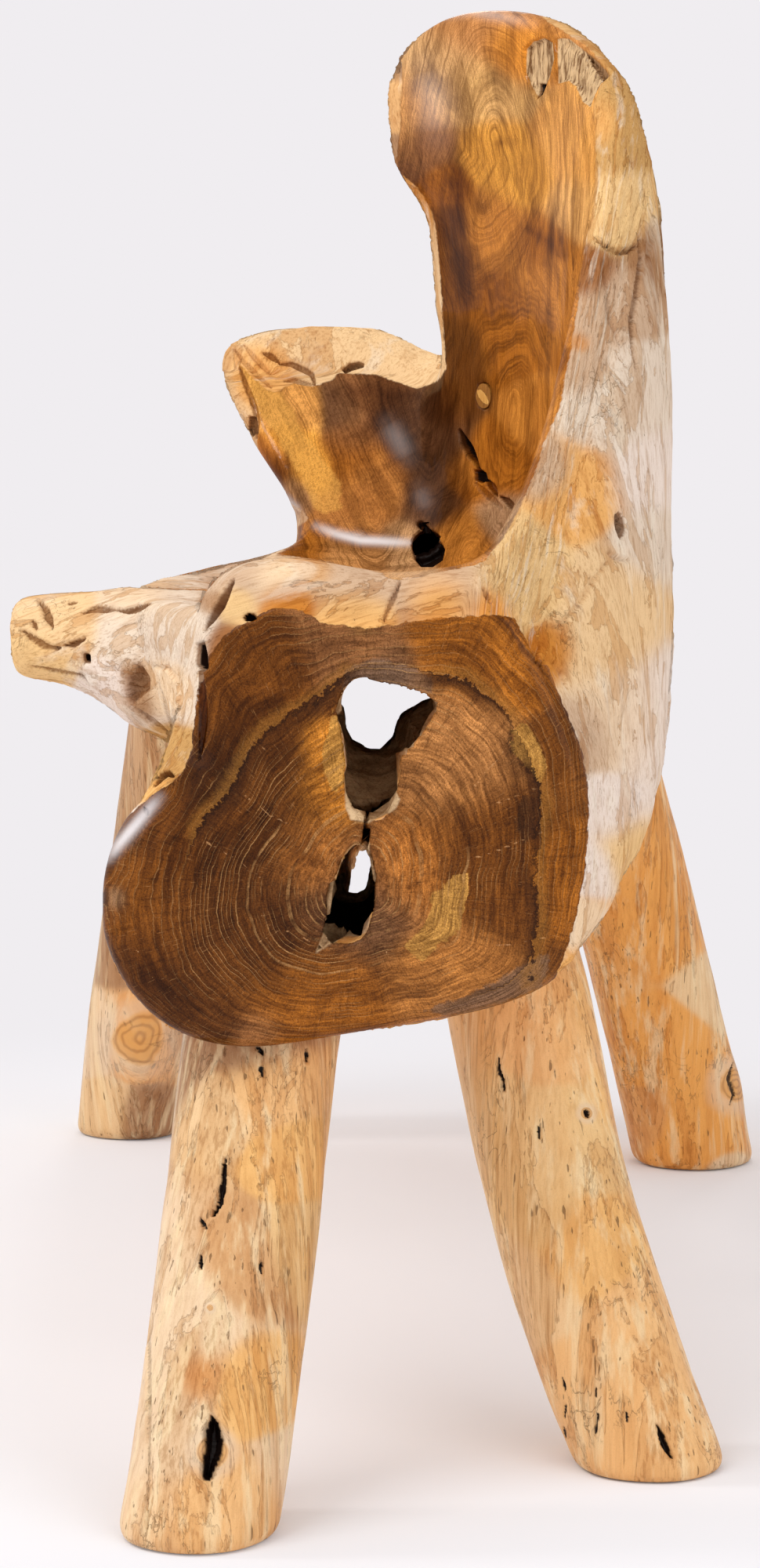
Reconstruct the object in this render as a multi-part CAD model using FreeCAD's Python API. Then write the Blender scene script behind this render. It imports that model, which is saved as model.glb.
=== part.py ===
import FreeCAD, Part
import math
import os

V = FreeCAD.Vector

# Driving sizes of the bench, in millimetres.
# X runs along the seat (the sawn trunk end is at +X), Y from front to back, Z up.
half_length = 600.0
back_reach = 200.0
rim_height = 500.0

# The root: edge of the sawn trunk end, and the blunt far end behind the arm.
end_edge_round = 16.0
end_edge_depth = 26.0
far_end_round = 34.0
far_end_depth = 30.0

# How the two ends are rounded: shares of the round and depth above.
end_edge_round_share = 0.4
end_edge_depth_share = 0.6
far_end_round_share = 0.35
far_end_depth_share = 0.7

# The log legs: one radius for each log.
front_trunk_leg_radius = 43.0
back_trunk_leg_radius = 42.0
front_arm_leg_radius = 43.0
back_arm_leg_radius = 46.0
foot_bevel = 8.0

# The joint of leg and root: a round tenon in a mortise, behind a full shoulder
# that stands in a shallow housing. The tenon's radius is a share of its log's.
tenon_radius_share = 0.5
tenon_length = 62.0
mortise_relief = 2.0
tenon_clearance = 0.3
housing_clearance = 0.5
housing_reach = 120.0

# The pocket screw that holds each tenon beside it, and the wood plug that
# covers its pocket.
screw_wall = 3.7
screw_shank_radius = 3.5
screw_head_radius = 5.5
screw_head_height = 6.0
screw_hold = 46.0
screw_tip_length = 9.0
screw_clearance = 0.2
screw_drive_radius = 2.5
screw_drive_depth = 3.0
screw_head_room = 0.6
driver_room = 24.0
driver_side_room = 2.5
pocket_drop = 32.0
plug_clearance = 0.15
pocket_overrun = 20.0

# The oval patch let into the back.
patch_half_width = 18.0
patch_half_height = 9.0
patch_depth = 6.0
patch_clearance = 0.1
patch_overrun = 30.0

# The hole at the far back corner of the seat.
corner_hole_mouth_radius = 12.0
corner_hole_throat_radius = 4.5
corner_hole_funnel = 46.0
corner_hole_run = 330.0
corner_hole_lead = 38.0

# The drying crack that joins the two mouths of the hollow heart.
heart_crack_width = 1.6
heart_crack_depth = 60.0
heart_crack_place_share = -0.035
heart_crack_bottom_share = 0.70
heart_crack_top_share = 0.80

# Where the sections of the root stand, as shares of the half length.
station_shares = (
    0.97, 0.90, 0.75, 0.57, 0.37, 0.17, -0.03, -0.23,
    -0.375, -0.467, -0.517, -0.617, -0.733, -0.808, -0.858, -0.933)

# The lines that run along the root, in order round a section from the middle of
# the underside to the front, over the seat, up the back and down its outside.
# Each pair is (share of the back reach, share of the rim height), one for each
# station, and the pairs are the control points of the skin.
line_shares = {
    "keel": (
        (-0.10, 0.53), (-0.11, 0.54), (-0.10, 0.58), (-0.08, 0.62),
        (-0.05, 0.65), (-0.03, 0.67), (-0.05, 0.68), (-0.05, 0.68),
        (-0.05, 0.68), (-0.05, 0.68), (-0.05, 0.69), (-0.10, 0.69),
        (-0.15, 0.70), (-0.20, 0.71), (-0.20, 0.73), (-0.10, 0.77)),
    "bottom_front": (
        (-0.38, 0.505), (-0.38, 0.515), (-0.35, 0.57), (-0.32, 0.61),
        (-0.33, 0.65), (-0.38, 0.67), (-0.42, 0.68), (-0.45, 0.68),
        (-0.46, 0.67), (-0.46, 0.67), (-0.46, 0.67), (-0.48, 0.67),
        (-0.50, 0.67), (-0.50, 0.68), (-0.45, 0.71), (-0.18, 0.76)),
    "front_low": (
        (-0.63, 0.54), (-0.60, 0.56), (-0.54, 0.59), (-0.48, 0.64),
        (-0.48, 0.69), (-0.58, 0.71), (-0.68, 0.71), (-0.76, 0.69),
        (-0.80, 0.68), (-0.82, 0.67), (-0.84, 0.67), (-0.86, 0.66),
        (-0.88, 0.66), (-0.84, 0.67), (-0.70, 0.71), (-0.24, 0.77)),
    "front_bulge": (
        (-0.775, 0.645), (-0.74, 0.655), (-0.66, 0.68), (-0.58, 0.72),
        (-0.60, 0.76), (-0.72, 0.78), (-0.82, 0.77), (-0.92, 0.75),
        (-0.96, 0.73), (-0.98, 0.73), (-1.00, 0.73), (-1.02, 0.73),
        (-1.04, 0.73), (-1.00, 0.73), (-0.84, 0.75), (-0.28, 0.80)),
    "front_high": (
        (-0.71, 0.76), (-0.68, 0.77), (-0.62, 0.78), (-0.60, 0.80),
        (-0.66, 0.83), (-0.80, 0.84), (-0.88, 0.83), (-0.90, 0.81),
        (-0.88, 0.81), (-0.88, 0.82), (-0.89, 0.83), (-0.92, 0.85),
        (-0.94, 0.86), (-0.90, 0.86), (-0.74, 0.83), (-0.28, 0.85)),
    "front_edge": (
        (-0.52, 0.82), (-0.53, 0.83), (-0.56, 0.86), (-0.60, 0.88),
        (-0.70, 0.89), (-0.82, 0.90), (-0.88, 0.90), (-0.78, 0.88),
        (-0.64, 0.87), (-0.54, 0.88), (-0.44, 0.89), (-0.34, 0.90),
        (-0.30, 0.90), (-0.28, 0.90), (-0.30, 0.87), (-0.22, 0.88)),
    "rim_front": (
        (-0.49, 0.92), (-0.50, 0.93), (-0.56, 0.94), (-0.62, 0.95),
        (-0.71, 0.95), (-0.83, 0.95), (-0.86, 0.95), (-0.70, 0.955),
        (-0.53, 0.96), (-0.37, 0.965), (-0.28, 0.98), (-0.24, 1.00),
        (-0.32, 1.03), (-0.30, 1.03), (-0.26, 0.96), (-0.20, 0.92)),
    "seat_front": (
        (-0.46, 1.03), (-0.48, 1.03), (-0.48, 0.99), (-0.48, 0.96),
        (-0.54, 0.94), (-0.60, 0.94), (-0.60, 0.94), (-0.46, 0.95),
        (-0.32, 0.96), (-0.22, 0.975), (-0.22, 1.01), (-0.46, 1.07),
        (-0.70, 1.215), (-0.62, 1.225), (-0.36, 1.05), (-0.14, 0.95)),
    "seat_middle": (
        (-0.22, 1.04), (-0.24, 1.04), (-0.24, 0.97), (-0.22, 0.93),
        (-0.22, 0.91), (-0.22, 0.91), (-0.22, 0.91), (-0.16, 0.92),
        (-0.08, 0.94), (-0.02, 0.965), (-0.06, 1.00), (-0.24, 1.12),
        (-0.66, 1.29), (-0.56, 1.30), (-0.30, 1.10), (-0.08, 0.97)),
    "crease": (
        (0.02, 1.01), (0.03, 1.02), (0.04, 0.96), (0.12, 0.92),
        (0.22, 0.91), (0.28, 0.91), (0.26, 0.91), (0.23, 0.92),
        (0.19, 0.94), (0.15, 0.97), (0.10, 1.03), (0.00, 1.14),
        (-0.26, 1.29), (-0.24, 1.31), (-0.14, 1.13), (-0.02, 0.98)),
    "back_low": (
        (0.15, 1.02), (0.18, 1.03), (0.22, 0.98), (0.34, 0.97),
        (0.48, 0.96), (0.54, 0.96), (0.51, 0.96), (0.43, 0.98),
        (0.34, 1.00), (0.25, 1.04), (0.18, 1.11), (0.14, 1.18),
        (0.00, 1.29), (0.00, 1.31), (0.00, 1.13), (0.04, 0.98)),
    "back_middle": (
        (0.23, 1.02), (0.25, 1.03), (0.29, 1.02), (0.41, 1.04),
        (0.55, 1.10), (0.60, 1.12), (0.59, 1.14), (0.49, 1.16),
        (0.38, 1.18), (0.27, 1.20), (0.22, 1.20), (0.20, 1.21),
        (0.14, 1.26), (0.12, 1.27), (0.10, 1.12), (0.10, 0.97)),
    "back_high": (
        (0.29, 1.02), (0.31, 1.04), (0.34, 1.06), (0.46, 1.12),
        (0.60, 1.28), (0.64, 1.36), (0.59, 1.40), (0.44, 1.44),
        (0.31, 1.43), (0.25, 1.40), (0.23, 1.26), (0.26, 1.24),
        (0.24, 1.25), (0.22, 1.24), (0.18, 1.11), (0.16, 0.96)),
    "lip": (
        (0.36, 1.00), (0.36, 1.04), (0.40, 1.09), (0.50, 1.19),
        (0.65, 1.44), (0.70, 1.59), (0.53, 1.66), (0.27, 1.67),
        (0.07, 1.61), (0.03, 1.52), (0.22, 1.28), (0.31, 1.26),
        (0.31, 1.24), (0.29, 1.21), (0.25, 1.09), (0.21, 0.95)),
    "crest": (
        (0.42, 0.96), (0.43, 1.00), (0.48, 1.09), (0.58, 1.22),
        (0.74, 1.48), (0.76, 1.63), (0.55, 1.715), (0.21, 1.745),
        (0.01, 1.70), (-0.05, 1.60), (0.30, 1.33), (0.38, 1.26),
        (0.38, 1.23), (0.36, 1.19), (0.31, 1.07), (0.26, 0.94)),
    "outer_lip": (
        (0.50, 0.89), (0.53, 0.92), (0.61, 1.04), (0.73, 1.17),
        (0.87, 1.42), (0.90, 1.58), (0.75, 1.69), (0.47, 1.73),
        (0.26, 1.69), (0.20, 1.60), (0.42, 1.33), (0.46, 1.24),
        (0.46, 1.20), (0.43, 1.15), (0.38, 1.04), (0.31, 0.92)),
    "outer_high": (
        (0.57, 0.81), (0.61, 0.82), (0.69, 0.92), (0.80, 1.00),
        (0.89, 1.18), (0.95, 1.28), (0.94, 1.36), (0.83, 1.48),
        (0.66, 1.46), (0.56, 1.40), (0.60, 1.26), (0.62, 1.17),
        (0.60, 1.12), (0.54, 1.06), (0.46, 0.99), (0.35, 0.90)),
    "outer_middle": (
        (0.57, 0.72), (0.63, 0.73), (0.73, 0.77), (0.82, 0.82),
        (0.90, 0.90), (0.95, 0.94), (0.96, 0.98), (0.95, 1.04),
        (0.92, 1.04), (0.90, 1.02), (0.88, 1.00), (0.84, 0.96),
        (0.74, 0.94), (0.64, 0.92), (0.52, 0.90), (0.38, 0.87)),
    "outer_low": (
        (0.57, 0.60), (0.63, 0.61), (0.74, 0.64), (0.84, 0.66),
        (0.92, 0.68), (0.97, 0.69), (1.00, 0.71), (1.02, 0.74),
        (1.04, 0.75), (1.05, 0.75), (1.05, 0.75), (0.99, 0.75),
        (0.81, 0.77), (0.64, 0.78), (0.50, 0.79), (0.34, 0.82)),
    "bottom_back": (
        (0.30, 0.55), (0.33, 0.56), (0.40, 0.59), (0.48, 0.63),
        (0.56, 0.655), (0.62, 0.67), (0.66, 0.68), (0.70, 0.67),
        (0.74, 0.66), (0.74, 0.66), (0.72, 0.66), (0.60, 0.67),
        (0.44, 0.70), (0.30, 0.72), (0.22, 0.74), (0.14, 0.79)),
}

# The root nub at the front: (how far out, share of the back reach; place along
# the bench, share of the half length; mid height, share of the rim height;
# half width and half height as shares of the back reach).
nub_shares = (
    (-0.30, 0.13, 0.840, 0.62, 0.28),
    (-0.60, 0.13, 0.840, 0.62, 0.28),
    (-0.78, 0.12, 0.853, 0.48, 0.26),
    (-0.90, 0.11, 0.868, 0.33, 0.198),
    (-1.02, 0.10, 0.879, 0.24, 0.163),
    (-1.13, 0.09, 0.879, 0.20, 0.152),
    (-1.20, 0.09, 0.879, 0.18, 0.140),
    (-1.22, 0.09, 0.879, 0.12, 0.100),
    (-1.225, 0.09, 0.879, 0.06, 0.050))
nub_lobe_shares = (1.04, 0.97, 1.02, 0.95, 1.03, 1.00, 0.94, 1.03, 0.98, 1.05)

# The rotted heart: the outline of each mouth on the sawn end, as pairs of
# (share of the back reach, share of the rim height), and the way in, as
# (share of the half length, shift across, shift up, growth across, growth up).
# Its first ring stands clear of the end. The upper limb narrows behind its
# mouth and then runs straight, sinking slowly, until it opens underneath.
heart_overrun_share = 1.10
upper_mouth_shares = (
    (-0.115, 0.895), (-0.06, 0.918), (0.02, 0.905), (0.115, 0.898),
    (0.160, 0.88), (0.10, 0.848), (0.045, 0.83), (0.045, 0.785),
    (0.010, 0.750), (-0.080, 0.765), (-0.090, 0.835))
upper_way_shares = (
    (heart_overrun_share, 0.000, 0.000, 1.00, 1.00), (0.985, 0.000, 0.000, 1.00, 1.00),
    (0.940, 0.000, 0.008, 1.02, 0.80), (0.870, 0.001, 0.021, 1.10, 0.55),
    (0.760, 0.002, 0.010, 1.16, 0.57), (0.400, 0.003, -0.028, 1.28, 0.62),
    (-0.100, 0.005, -0.079, 1.42, 0.69), (-0.550, 0.007, -0.126, 1.54, 0.76),
    (-0.900, 0.008, -0.162, 1.64, 0.81), (-1.000, 0.008, -0.172, 1.67, 0.82))
lower_mouth_shares = (
    (-0.09, 0.735), (-0.04, 0.742), (-0.015, 0.70), (-0.02, 0.665),
    (-0.03, 0.635), (-0.09, 0.625), (-0.15, 0.635), (-0.13, 0.665),
    (-0.12, 0.70))
lower_way_shares = (
    (heart_overrun_share, 0.00, 0.00, 1.00, 1.00), (1.00, 0.00, 0.00, 1.00, 1.00),
    (0.94, 0.00, 0.01, 0.90, 0.90), (0.86, 0.01, 0.02, 0.70, 0.70),
    (0.76, 0.02, 0.00, 0.75, 0.75), (0.66, 0.03, -0.03, 0.85, 0.85),
    (0.56, 0.03, -0.06, 1.00, 1.00), (0.48, 0.03, -0.08, 1.10, 1.10),
    (0.40, 0.03, -0.10, 1.20, 1.20), (0.32, 0.03, -0.13, 1.30, 1.30))

# The hole at the seat's far back corner: place and aim.
corner_hole_place_shares = (-0.475, 0.18, 0.966)
corner_hole_aim_shares = (-1.0, 0.012, -0.030)

# The oval patch: place on the back, and the way that it faces.
patch_place_shares = (-0.355, 0.373, 1.19)
patch_facing_shares = (0.275, -0.96, 0.0)

# Each leg: foot centre and shoulder centre as shares of the half length, the
# back reach and the rim height, its bow as shares of its radius, and the turns
# of its screw pocket and of its uneven girth in degrees.
leg_plans = {
    "leg_front_trunk_end": {
        "radius": front_trunk_leg_radius,
        "foot_shares": (1.035, -0.485),
        "shoulder_shares": (0.885, -0.30, 0.585),
        "bow_shares": (0.05, 0.06),
        "pocket_turn": 180.0,
        "grain_turn": 0.0},
    "leg_back_trunk_end": {
        "radius": back_trunk_leg_radius,
        "foot_shares": (0.810, 0.760),
        "shoulder_shares": (0.690, 0.310, 0.640),
        "bow_shares": (0.05, -0.22),
        "pocket_turn": 0.0,
        "grain_turn": 75.0},
    "leg_front_arm_end": {
        "radius": front_arm_leg_radius,
        "foot_shares": (-0.850, -1.015),
        "shoulder_shares": (-0.700, -0.750, 0.715),
        "bow_shares": (-0.10, -0.05),
        "pocket_turn": 180.0,
        "grain_turn": 140.0},
    "leg_back_arm_end": {
        "radius": back_arm_leg_radius,
        "foot_shares": (-0.650, 1.225),
        "shoulder_shares": (-0.530, 0.750, 0.745),
        "bow_shares": (-0.10, 0.05),
        "pocket_turn": 180.0,
        "grain_turn": 220.0},
}
log_ring_shares = (1.00, 1.02, 0.98, 1.01, 0.97, 1.02, 1.00, 0.98, 1.03, 0.99, 1.01, 0.98)
log_height_shares = (0.12, 0.28, 0.45, 0.62)
log_plain_height_shares = (0.80, 0.90)
log_bow_shares = (0.4, 0.8, 1.0, 0.7)
foot_bevel_shares = ((1.0, 0.0), (0.45, 0.0), (0.0, 0.6), (0.0, 1.6))

# A cubic ring through evenly turned control points lies inside them by this share.
ring_count = len(log_ring_shares)
ring_shrink_share = (2.0 + math.cos(2.0 * math.pi / ring_count)) / 3.0


def place(shares):
    """Point of the bench from shares of its half length, back reach and rim height."""
    along, across, up = shares
    return V(along * half_length, across * back_reach, up * rim_height)


def skin_solid(rings):
    """Closed solid whose skin is smooth through rings of control points.

    The skin is cubic both ways: it closes on itself round each ring, and ends
    on the flat first and last rings, which get plane caps.
    """
    along_count = len(rings)
    around_count = len(rings[0])
    along_mults = [4] + [1] * (along_count - 4) + [4]
    along_knots = [float(i) for i in range(len(along_mults))]
    around_mults = [1] * (around_count + 1)
    around_knots = [float(i) for i in range(around_count + 1)]
    surface = Part.BSplineSurface()
    surface.buildFromPolesMultsKnots(
        rings, along_mults, around_mults, along_knots, around_knots,
        False, True, 3, 3)
    side = surface.toShape()
    caps = []
    for edge in side.Edges:
        if edge.isClosed() and not edge.isSeam(side):
            caps.append(Part.Face(Part.Wire([edge])))
    shell = Part.makeShell([side] + caps)
    shell.sewShape()
    return Part.Solid(Part.Shell(shell.Faces))


def ring_centre(ring):
    """Mean point of a ring."""
    total = V()
    for point in ring:
        total = total + point
    return total * (1.0 / len(ring))


def drawn_in(ring, inset, shift):
    """Ring drawn towards its centre by an inset and moved along the bench."""
    centre = ring_centre(ring)
    points = []
    for point in ring:
        inward = (centre - point).normalize()
        points.append(point + inward * inset + V(shift, 0.0, 0.0))
    return points


def root_rings():
    """Rings of the root from the sawn trunk end to the blunt end behind the arm."""
    rings = []
    for index, along in enumerate(station_shares):
        ring = []
        for line in line_shares.values():
            across, up = line[index]
            ring.append(place((along, across, up)))
        rings.append(ring)
    first = rings[0]
    last = rings[-1]
    start = [
        drawn_in(first, end_edge_round, end_edge_depth),
        drawn_in(first, end_edge_round * end_edge_round_share, end_edge_depth),
        drawn_in(first, 0.0, end_edge_depth * end_edge_depth_share)]
    end = [
        drawn_in(last, far_end_round * far_end_round_share,
                 -far_end_depth * far_end_depth_share),
        drawn_in(last, far_end_round, -far_end_depth)]
    return start + rings + end


def nub_solid():
    """Root nub that stands out of the front below the seat's edge."""
    rings = []
    count = len(nub_lobe_shares)
    for out, along, up, half_width, half_height in nub_shares:
        centre = place((along, out, up))
        ring = []
        for index, lobe in enumerate(nub_lobe_shares):
            turn = 2.0 * math.pi * index / count
            wide = half_width * back_reach * lobe * math.cos(turn)
            high = half_height * back_reach * lobe * math.sin(turn)
            ring.append(centre + V(wide, 0.0, high))
        rings.append(ring)
    return skin_solid(rings)


def heart_limb(mouth_shares, way_shares):
    """One limb of the rotted heart: its mouth's outline carried inwards."""
    count = float(len(mouth_shares))
    middle_across = sum(pair[0] for pair in mouth_shares) / count
    middle_up = sum(pair[1] for pair in mouth_shares) / count
    rings = []
    for along, shift_across, shift_up, growth_across, growth_up in way_shares:
        ring = []
        for across, up in mouth_shares:
            ring.append(place((
                along,
                middle_across + shift_across + (across - middle_across) * growth_across,
                middle_up + shift_up + (up - middle_up) * growth_up)))
        rings.append(ring)
    return skin_solid(rings)


def heart_crack():
    """Thin drying crack between the two mouths on the sawn end."""
    low = place((1.0, heart_crack_place_share, heart_crack_bottom_share))
    high = place((1.0, heart_crack_place_share, heart_crack_top_share))
    corner = low - V(heart_crack_depth, heart_crack_width * 0.5, 0.0)
    length = heart_crack_depth + end_edge_depth
    return Part.makeBox(length, heart_crack_width, high.z - low.z, corner)


def corner_hole():
    """Funnel and throat of the hole at the seat's far back corner."""
    mouth = place(corner_hole_place_shares)
    aim = V(*corner_hole_aim_shares).normalize()
    bore = Part.makeCylinder(
        corner_hole_mouth_radius, corner_hole_lead, mouth - aim * corner_hole_lead, aim)
    funnel = Part.makeCone(
        corner_hole_mouth_radius, corner_hole_throat_radius, corner_hole_funnel, mouth, aim)
    throat = Part.makeCylinder(
        corner_hole_throat_radius, corner_hole_run, mouth, aim)
    return bore.fuse(funnel).fuse(throat)


def patch_prism(half_width, half_height, depth):
    """Oval prism that reaches from outside the back to a depth below its face."""
    centre = place(patch_place_shares)
    facing = V(*patch_facing_shares).normalize()
    across = V(0.0, 0.0, 1.0).cross(facing).normalize()
    arms = [V(0.0, 0.0, half_height), across * half_width]
    minor, major = sorted(arms, key=lambda arm: arm.Length)
    oval = Part.Ellipse(centre + major, centre + minor, centre)
    face = Part.Face(Part.Wire([oval.toShape()]))
    face.translate(facing * -depth)
    return face.extrude(facing * (depth + patch_overrun))


class Leg:
    """One log leg with its tenon, screw pocket, screw and plug."""

    def __init__(self, plan):
        self.radius = plan["radius"]
        along, across = plan["foot_shares"]
        self.foot = place((along, across, 0.0))
        self.shoulder = place(plan["shoulder_shares"])
        self.axis = (self.shoulder - self.foot).normalize()
        self.length = (self.shoulder - self.foot).Length
        side = V(0.0, 1.0, 0.0).cross(self.axis).normalize()
        rotation = FreeCAD.Rotation(
            side, self.axis.cross(side), self.axis, "ZXY")
        spin = FreeCAD.Rotation(V(0.0, 0.0, 1.0), plan["pocket_turn"])
        self.frame = FreeCAD.Placement(self.shoulder, rotation.multiply(spin))
        self.grain_turn = math.radians(plan["grain_turn"])
        bow_along, bow_across = plan["bow_shares"]
        self.bow = V(bow_along * self.radius, bow_across * self.radius, 0.0)
        self.tenon_radius = self.radius * tenon_radius_share
        self.screw_offset = (
            self.tenon_radius + tenon_clearance + screw_wall + screw_shank_radius)
        self.pocket_floor = self.screw_offset - screw_head_radius - screw_head_room
        self.plug_floor = self.screw_offset + screw_head_radius + screw_head_room
        self.pocket_width = 2.0 * (screw_head_radius + driver_side_room)
        self.pocket_height = screw_head_height + driver_room

    def placed(self, shape):
        """Shape drawn about the shoulder's centre, set into the bench."""
        shape.Placement = self.frame.multiply(shape.Placement)
        return shape

    def ring(self, centre, radius, plane_normal, lobes):
        """Ring of control points round the axis, slid along it onto a plane."""
        side = V(0.0, 1.0, 0.0).cross(self.axis).normalize()
        other = self.axis.cross(side)
        points = []
        for index, lobe in enumerate(lobes):
            turn = self.grain_turn + 2.0 * math.pi * index / ring_count
            reach = radius * lobe / ring_shrink_share
            point = centre + side * (reach * math.cos(turn)) + other * (reach * math.sin(turn))
            drop = (point - centre).dot(plane_normal) / self.axis.dot(plane_normal)
            points.append(point - self.axis * drop)
        return points

    def log(self):
        """The debarked log from its flat bevelled foot to its shoulder."""
        up = V(0.0, 0.0, 1.0)
        plain = [1.0] * ring_count
        rings = []
        for inset, rise in foot_bevel_shares:
            rings.append(self.ring(
                self.foot + self.axis * (foot_bevel * rise),
                self.radius - foot_bevel * inset, up, log_ring_shares))
        for height, bow in zip(log_height_shares, log_bow_shares):
            centre = self.foot + self.axis * (self.length * height) + self.bow * bow
            rings.append(self.ring(centre, self.radius, self.axis, log_ring_shares))
        for height in log_plain_height_shares:
            centre = self.foot + self.axis * (self.length * height)
            rings.append(self.ring(centre, self.radius, self.axis, plain))
        rings.append(self.ring(self.shoulder, self.radius, self.axis, plain))
        return skin_solid(rings)

    def pocket(self):
        """Rectangular pocket cut into the log's side below the shoulder."""
        depth = self.radius + pocket_overrun - self.pocket_floor
        box = Part.makeBox(
            depth, self.pocket_width, self.pocket_height,
            V(self.pocket_floor,
              -self.pocket_width * 0.5,
              -pocket_drop - self.pocket_height))
        return self.placed(box)

    def screw_hole(self):
        """Hole for the screw's shank through the shoulder into the root."""
        hole = Part.makeCylinder(
            screw_shank_radius + screw_clearance,
            pocket_drop + screw_hold + screw_clearance,
            V(self.screw_offset, 0.0, -pocket_drop))
        return self.placed(hole)

    def solid(self, log):
        """The leg: log and tenon, less the pocket and the screw's hole."""
        tenon = self.placed(Part.makeCylinder(self.tenon_radius, tenon_length))
        leg = log.fuse(tenon)
        return leg.cut(self.pocket()).cut(self.screw_hole())

    def root_cut(self):
        """What the root loses for this leg: housing, mortise and screw hole."""
        housing = self.placed(Part.makeCylinder(
            self.radius + housing_clearance, housing_reach,
            V(0.0, 0.0, -housing_reach)))
        mortise = self.placed(Part.makeCylinder(
            self.tenon_radius + tenon_clearance, tenon_length + mortise_relief))
        return [housing, mortise, self.screw_hole()]

    def screw(self):
        """Pocket screw: cheese head with a round drive, shank and point."""
        base = -pocket_drop
        head = Part.makeCylinder(
            screw_head_radius, screw_head_height,
            V(self.screw_offset, 0.0, base - screw_head_height))
        drive = Part.makeCylinder(
            screw_drive_radius, screw_drive_depth,
            V(self.screw_offset, 0.0, base - screw_head_height))
        shank_length = pocket_drop + screw_hold - screw_tip_length
        shank = Part.makeCylinder(
            screw_shank_radius, shank_length, V(self.screw_offset, 0.0, base))
        tip = Part.makeCone(
            screw_shank_radius, 0.0, screw_tip_length,
            V(self.screw_offset, 0.0, base + shank_length))
        return self.placed(head.cut(drive).fuse(shank).fuse(tip))

    def plug(self, log):
        """Wood plug that closes the pocket, flush with the log's side."""
        depth = self.radius + pocket_overrun - self.plug_floor
        box = Part.makeBox(
            depth,
            self.pocket_width - 2.0 * plug_clearance,
            self.pocket_height - 2.0 * plug_clearance,
            V(self.plug_floor,
              plug_clearance - self.pocket_width * 0.5,
              plug_clearance - pocket_drop - self.pocket_height))
        return self.placed(box).common(log)


def one_solid(shape):
    """The largest solid of a result that may hold slivers."""
    return max(shape.Solids, key=lambda solid: solid.Volume)


def build_parts():
    """All pieces by name, in the frame of the shares."""
    legs = {name: Leg(plan) for name, plan in leg_plans.items()}
    blank = one_solid(skin_solid(root_rings()).fuse(nub_solid()))
    patch = patch_prism(
        patch_half_width - patch_clearance, patch_half_height - patch_clearance, patch_depth)
    cuts = [
        patch_prism(patch_half_width, patch_half_height, patch_depth + patch_clearance),
        heart_limb(upper_mouth_shares, upper_way_shares),
        heart_limb(lower_mouth_shares, lower_way_shares),
        heart_crack(),
        corner_hole()]
    for leg in legs.values():
        cuts.extend(leg.root_cut())
    parts = {"root_body": one_solid(blank.cut(cuts))}
    parts["back_patch"] = one_solid(patch.common(blank))
    for name, leg in legs.items():
        log = leg.log()
        parts[name] = one_solid(leg.solid(log))
        parts[name + "_screw"] = one_solid(leg.screw())
        parts[name + "_plug"] = one_solid(leg.plug(log))
    return parts


def centre_on_floor(parts):
    """Move all pieces so that the bench's box stands centred on the origin."""
    box = Part.Compound(list(parts.values())).optimalBoundingBox(False, False)
    shift = V(-box.Center.x, -box.Center.y, -box.ZMin)
    for name in parts:
        parts[name] = parts[name].translated(shift)
    return parts


os.makedirs("parts", exist_ok=True)
finished = centre_on_floor(build_parts())
for node, shape in finished.items():
    shape.exportStep("parts/" + node + ".step")
    print(node, "valid", shape.isValid(), "volume", round(shape.Volume))
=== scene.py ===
"""Looks of a root bench: one carved root with seat, back and arm, on four debarked logs.

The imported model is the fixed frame. The root and the logs are carved further
here from merged copies of their solids; screws, plugs and the patch keep
theirs and get their finishes. Lengths are metres unless a name says mm or px.
"""

import logging
import math
from dataclasses import dataclass
from enum import Enum

import bmesh
import bpy
import numpy as np
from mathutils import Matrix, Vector
from mathutils.bvhtree import BVHTree


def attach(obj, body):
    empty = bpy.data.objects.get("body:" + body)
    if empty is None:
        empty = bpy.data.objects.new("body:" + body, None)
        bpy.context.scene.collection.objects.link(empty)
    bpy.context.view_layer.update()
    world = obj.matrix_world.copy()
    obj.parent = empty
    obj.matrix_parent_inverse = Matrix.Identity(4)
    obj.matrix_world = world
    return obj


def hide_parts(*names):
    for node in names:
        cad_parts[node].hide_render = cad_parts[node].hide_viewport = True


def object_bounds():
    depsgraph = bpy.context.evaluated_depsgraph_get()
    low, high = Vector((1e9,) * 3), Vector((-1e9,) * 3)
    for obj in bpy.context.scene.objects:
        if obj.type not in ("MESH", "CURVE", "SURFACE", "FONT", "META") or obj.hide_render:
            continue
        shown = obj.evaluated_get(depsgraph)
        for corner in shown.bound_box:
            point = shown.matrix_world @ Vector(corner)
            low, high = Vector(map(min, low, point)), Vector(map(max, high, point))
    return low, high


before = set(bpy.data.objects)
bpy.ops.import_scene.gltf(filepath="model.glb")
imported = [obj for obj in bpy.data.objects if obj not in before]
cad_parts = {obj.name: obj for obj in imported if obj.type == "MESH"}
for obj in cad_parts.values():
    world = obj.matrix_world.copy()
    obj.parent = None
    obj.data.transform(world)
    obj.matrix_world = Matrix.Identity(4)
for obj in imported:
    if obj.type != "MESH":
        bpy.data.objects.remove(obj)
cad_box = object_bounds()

LOG = logging.getLogger("root_bench")
MM = 0.001
BOX = np.array(cad_box, float)


# The viewpoint


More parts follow.
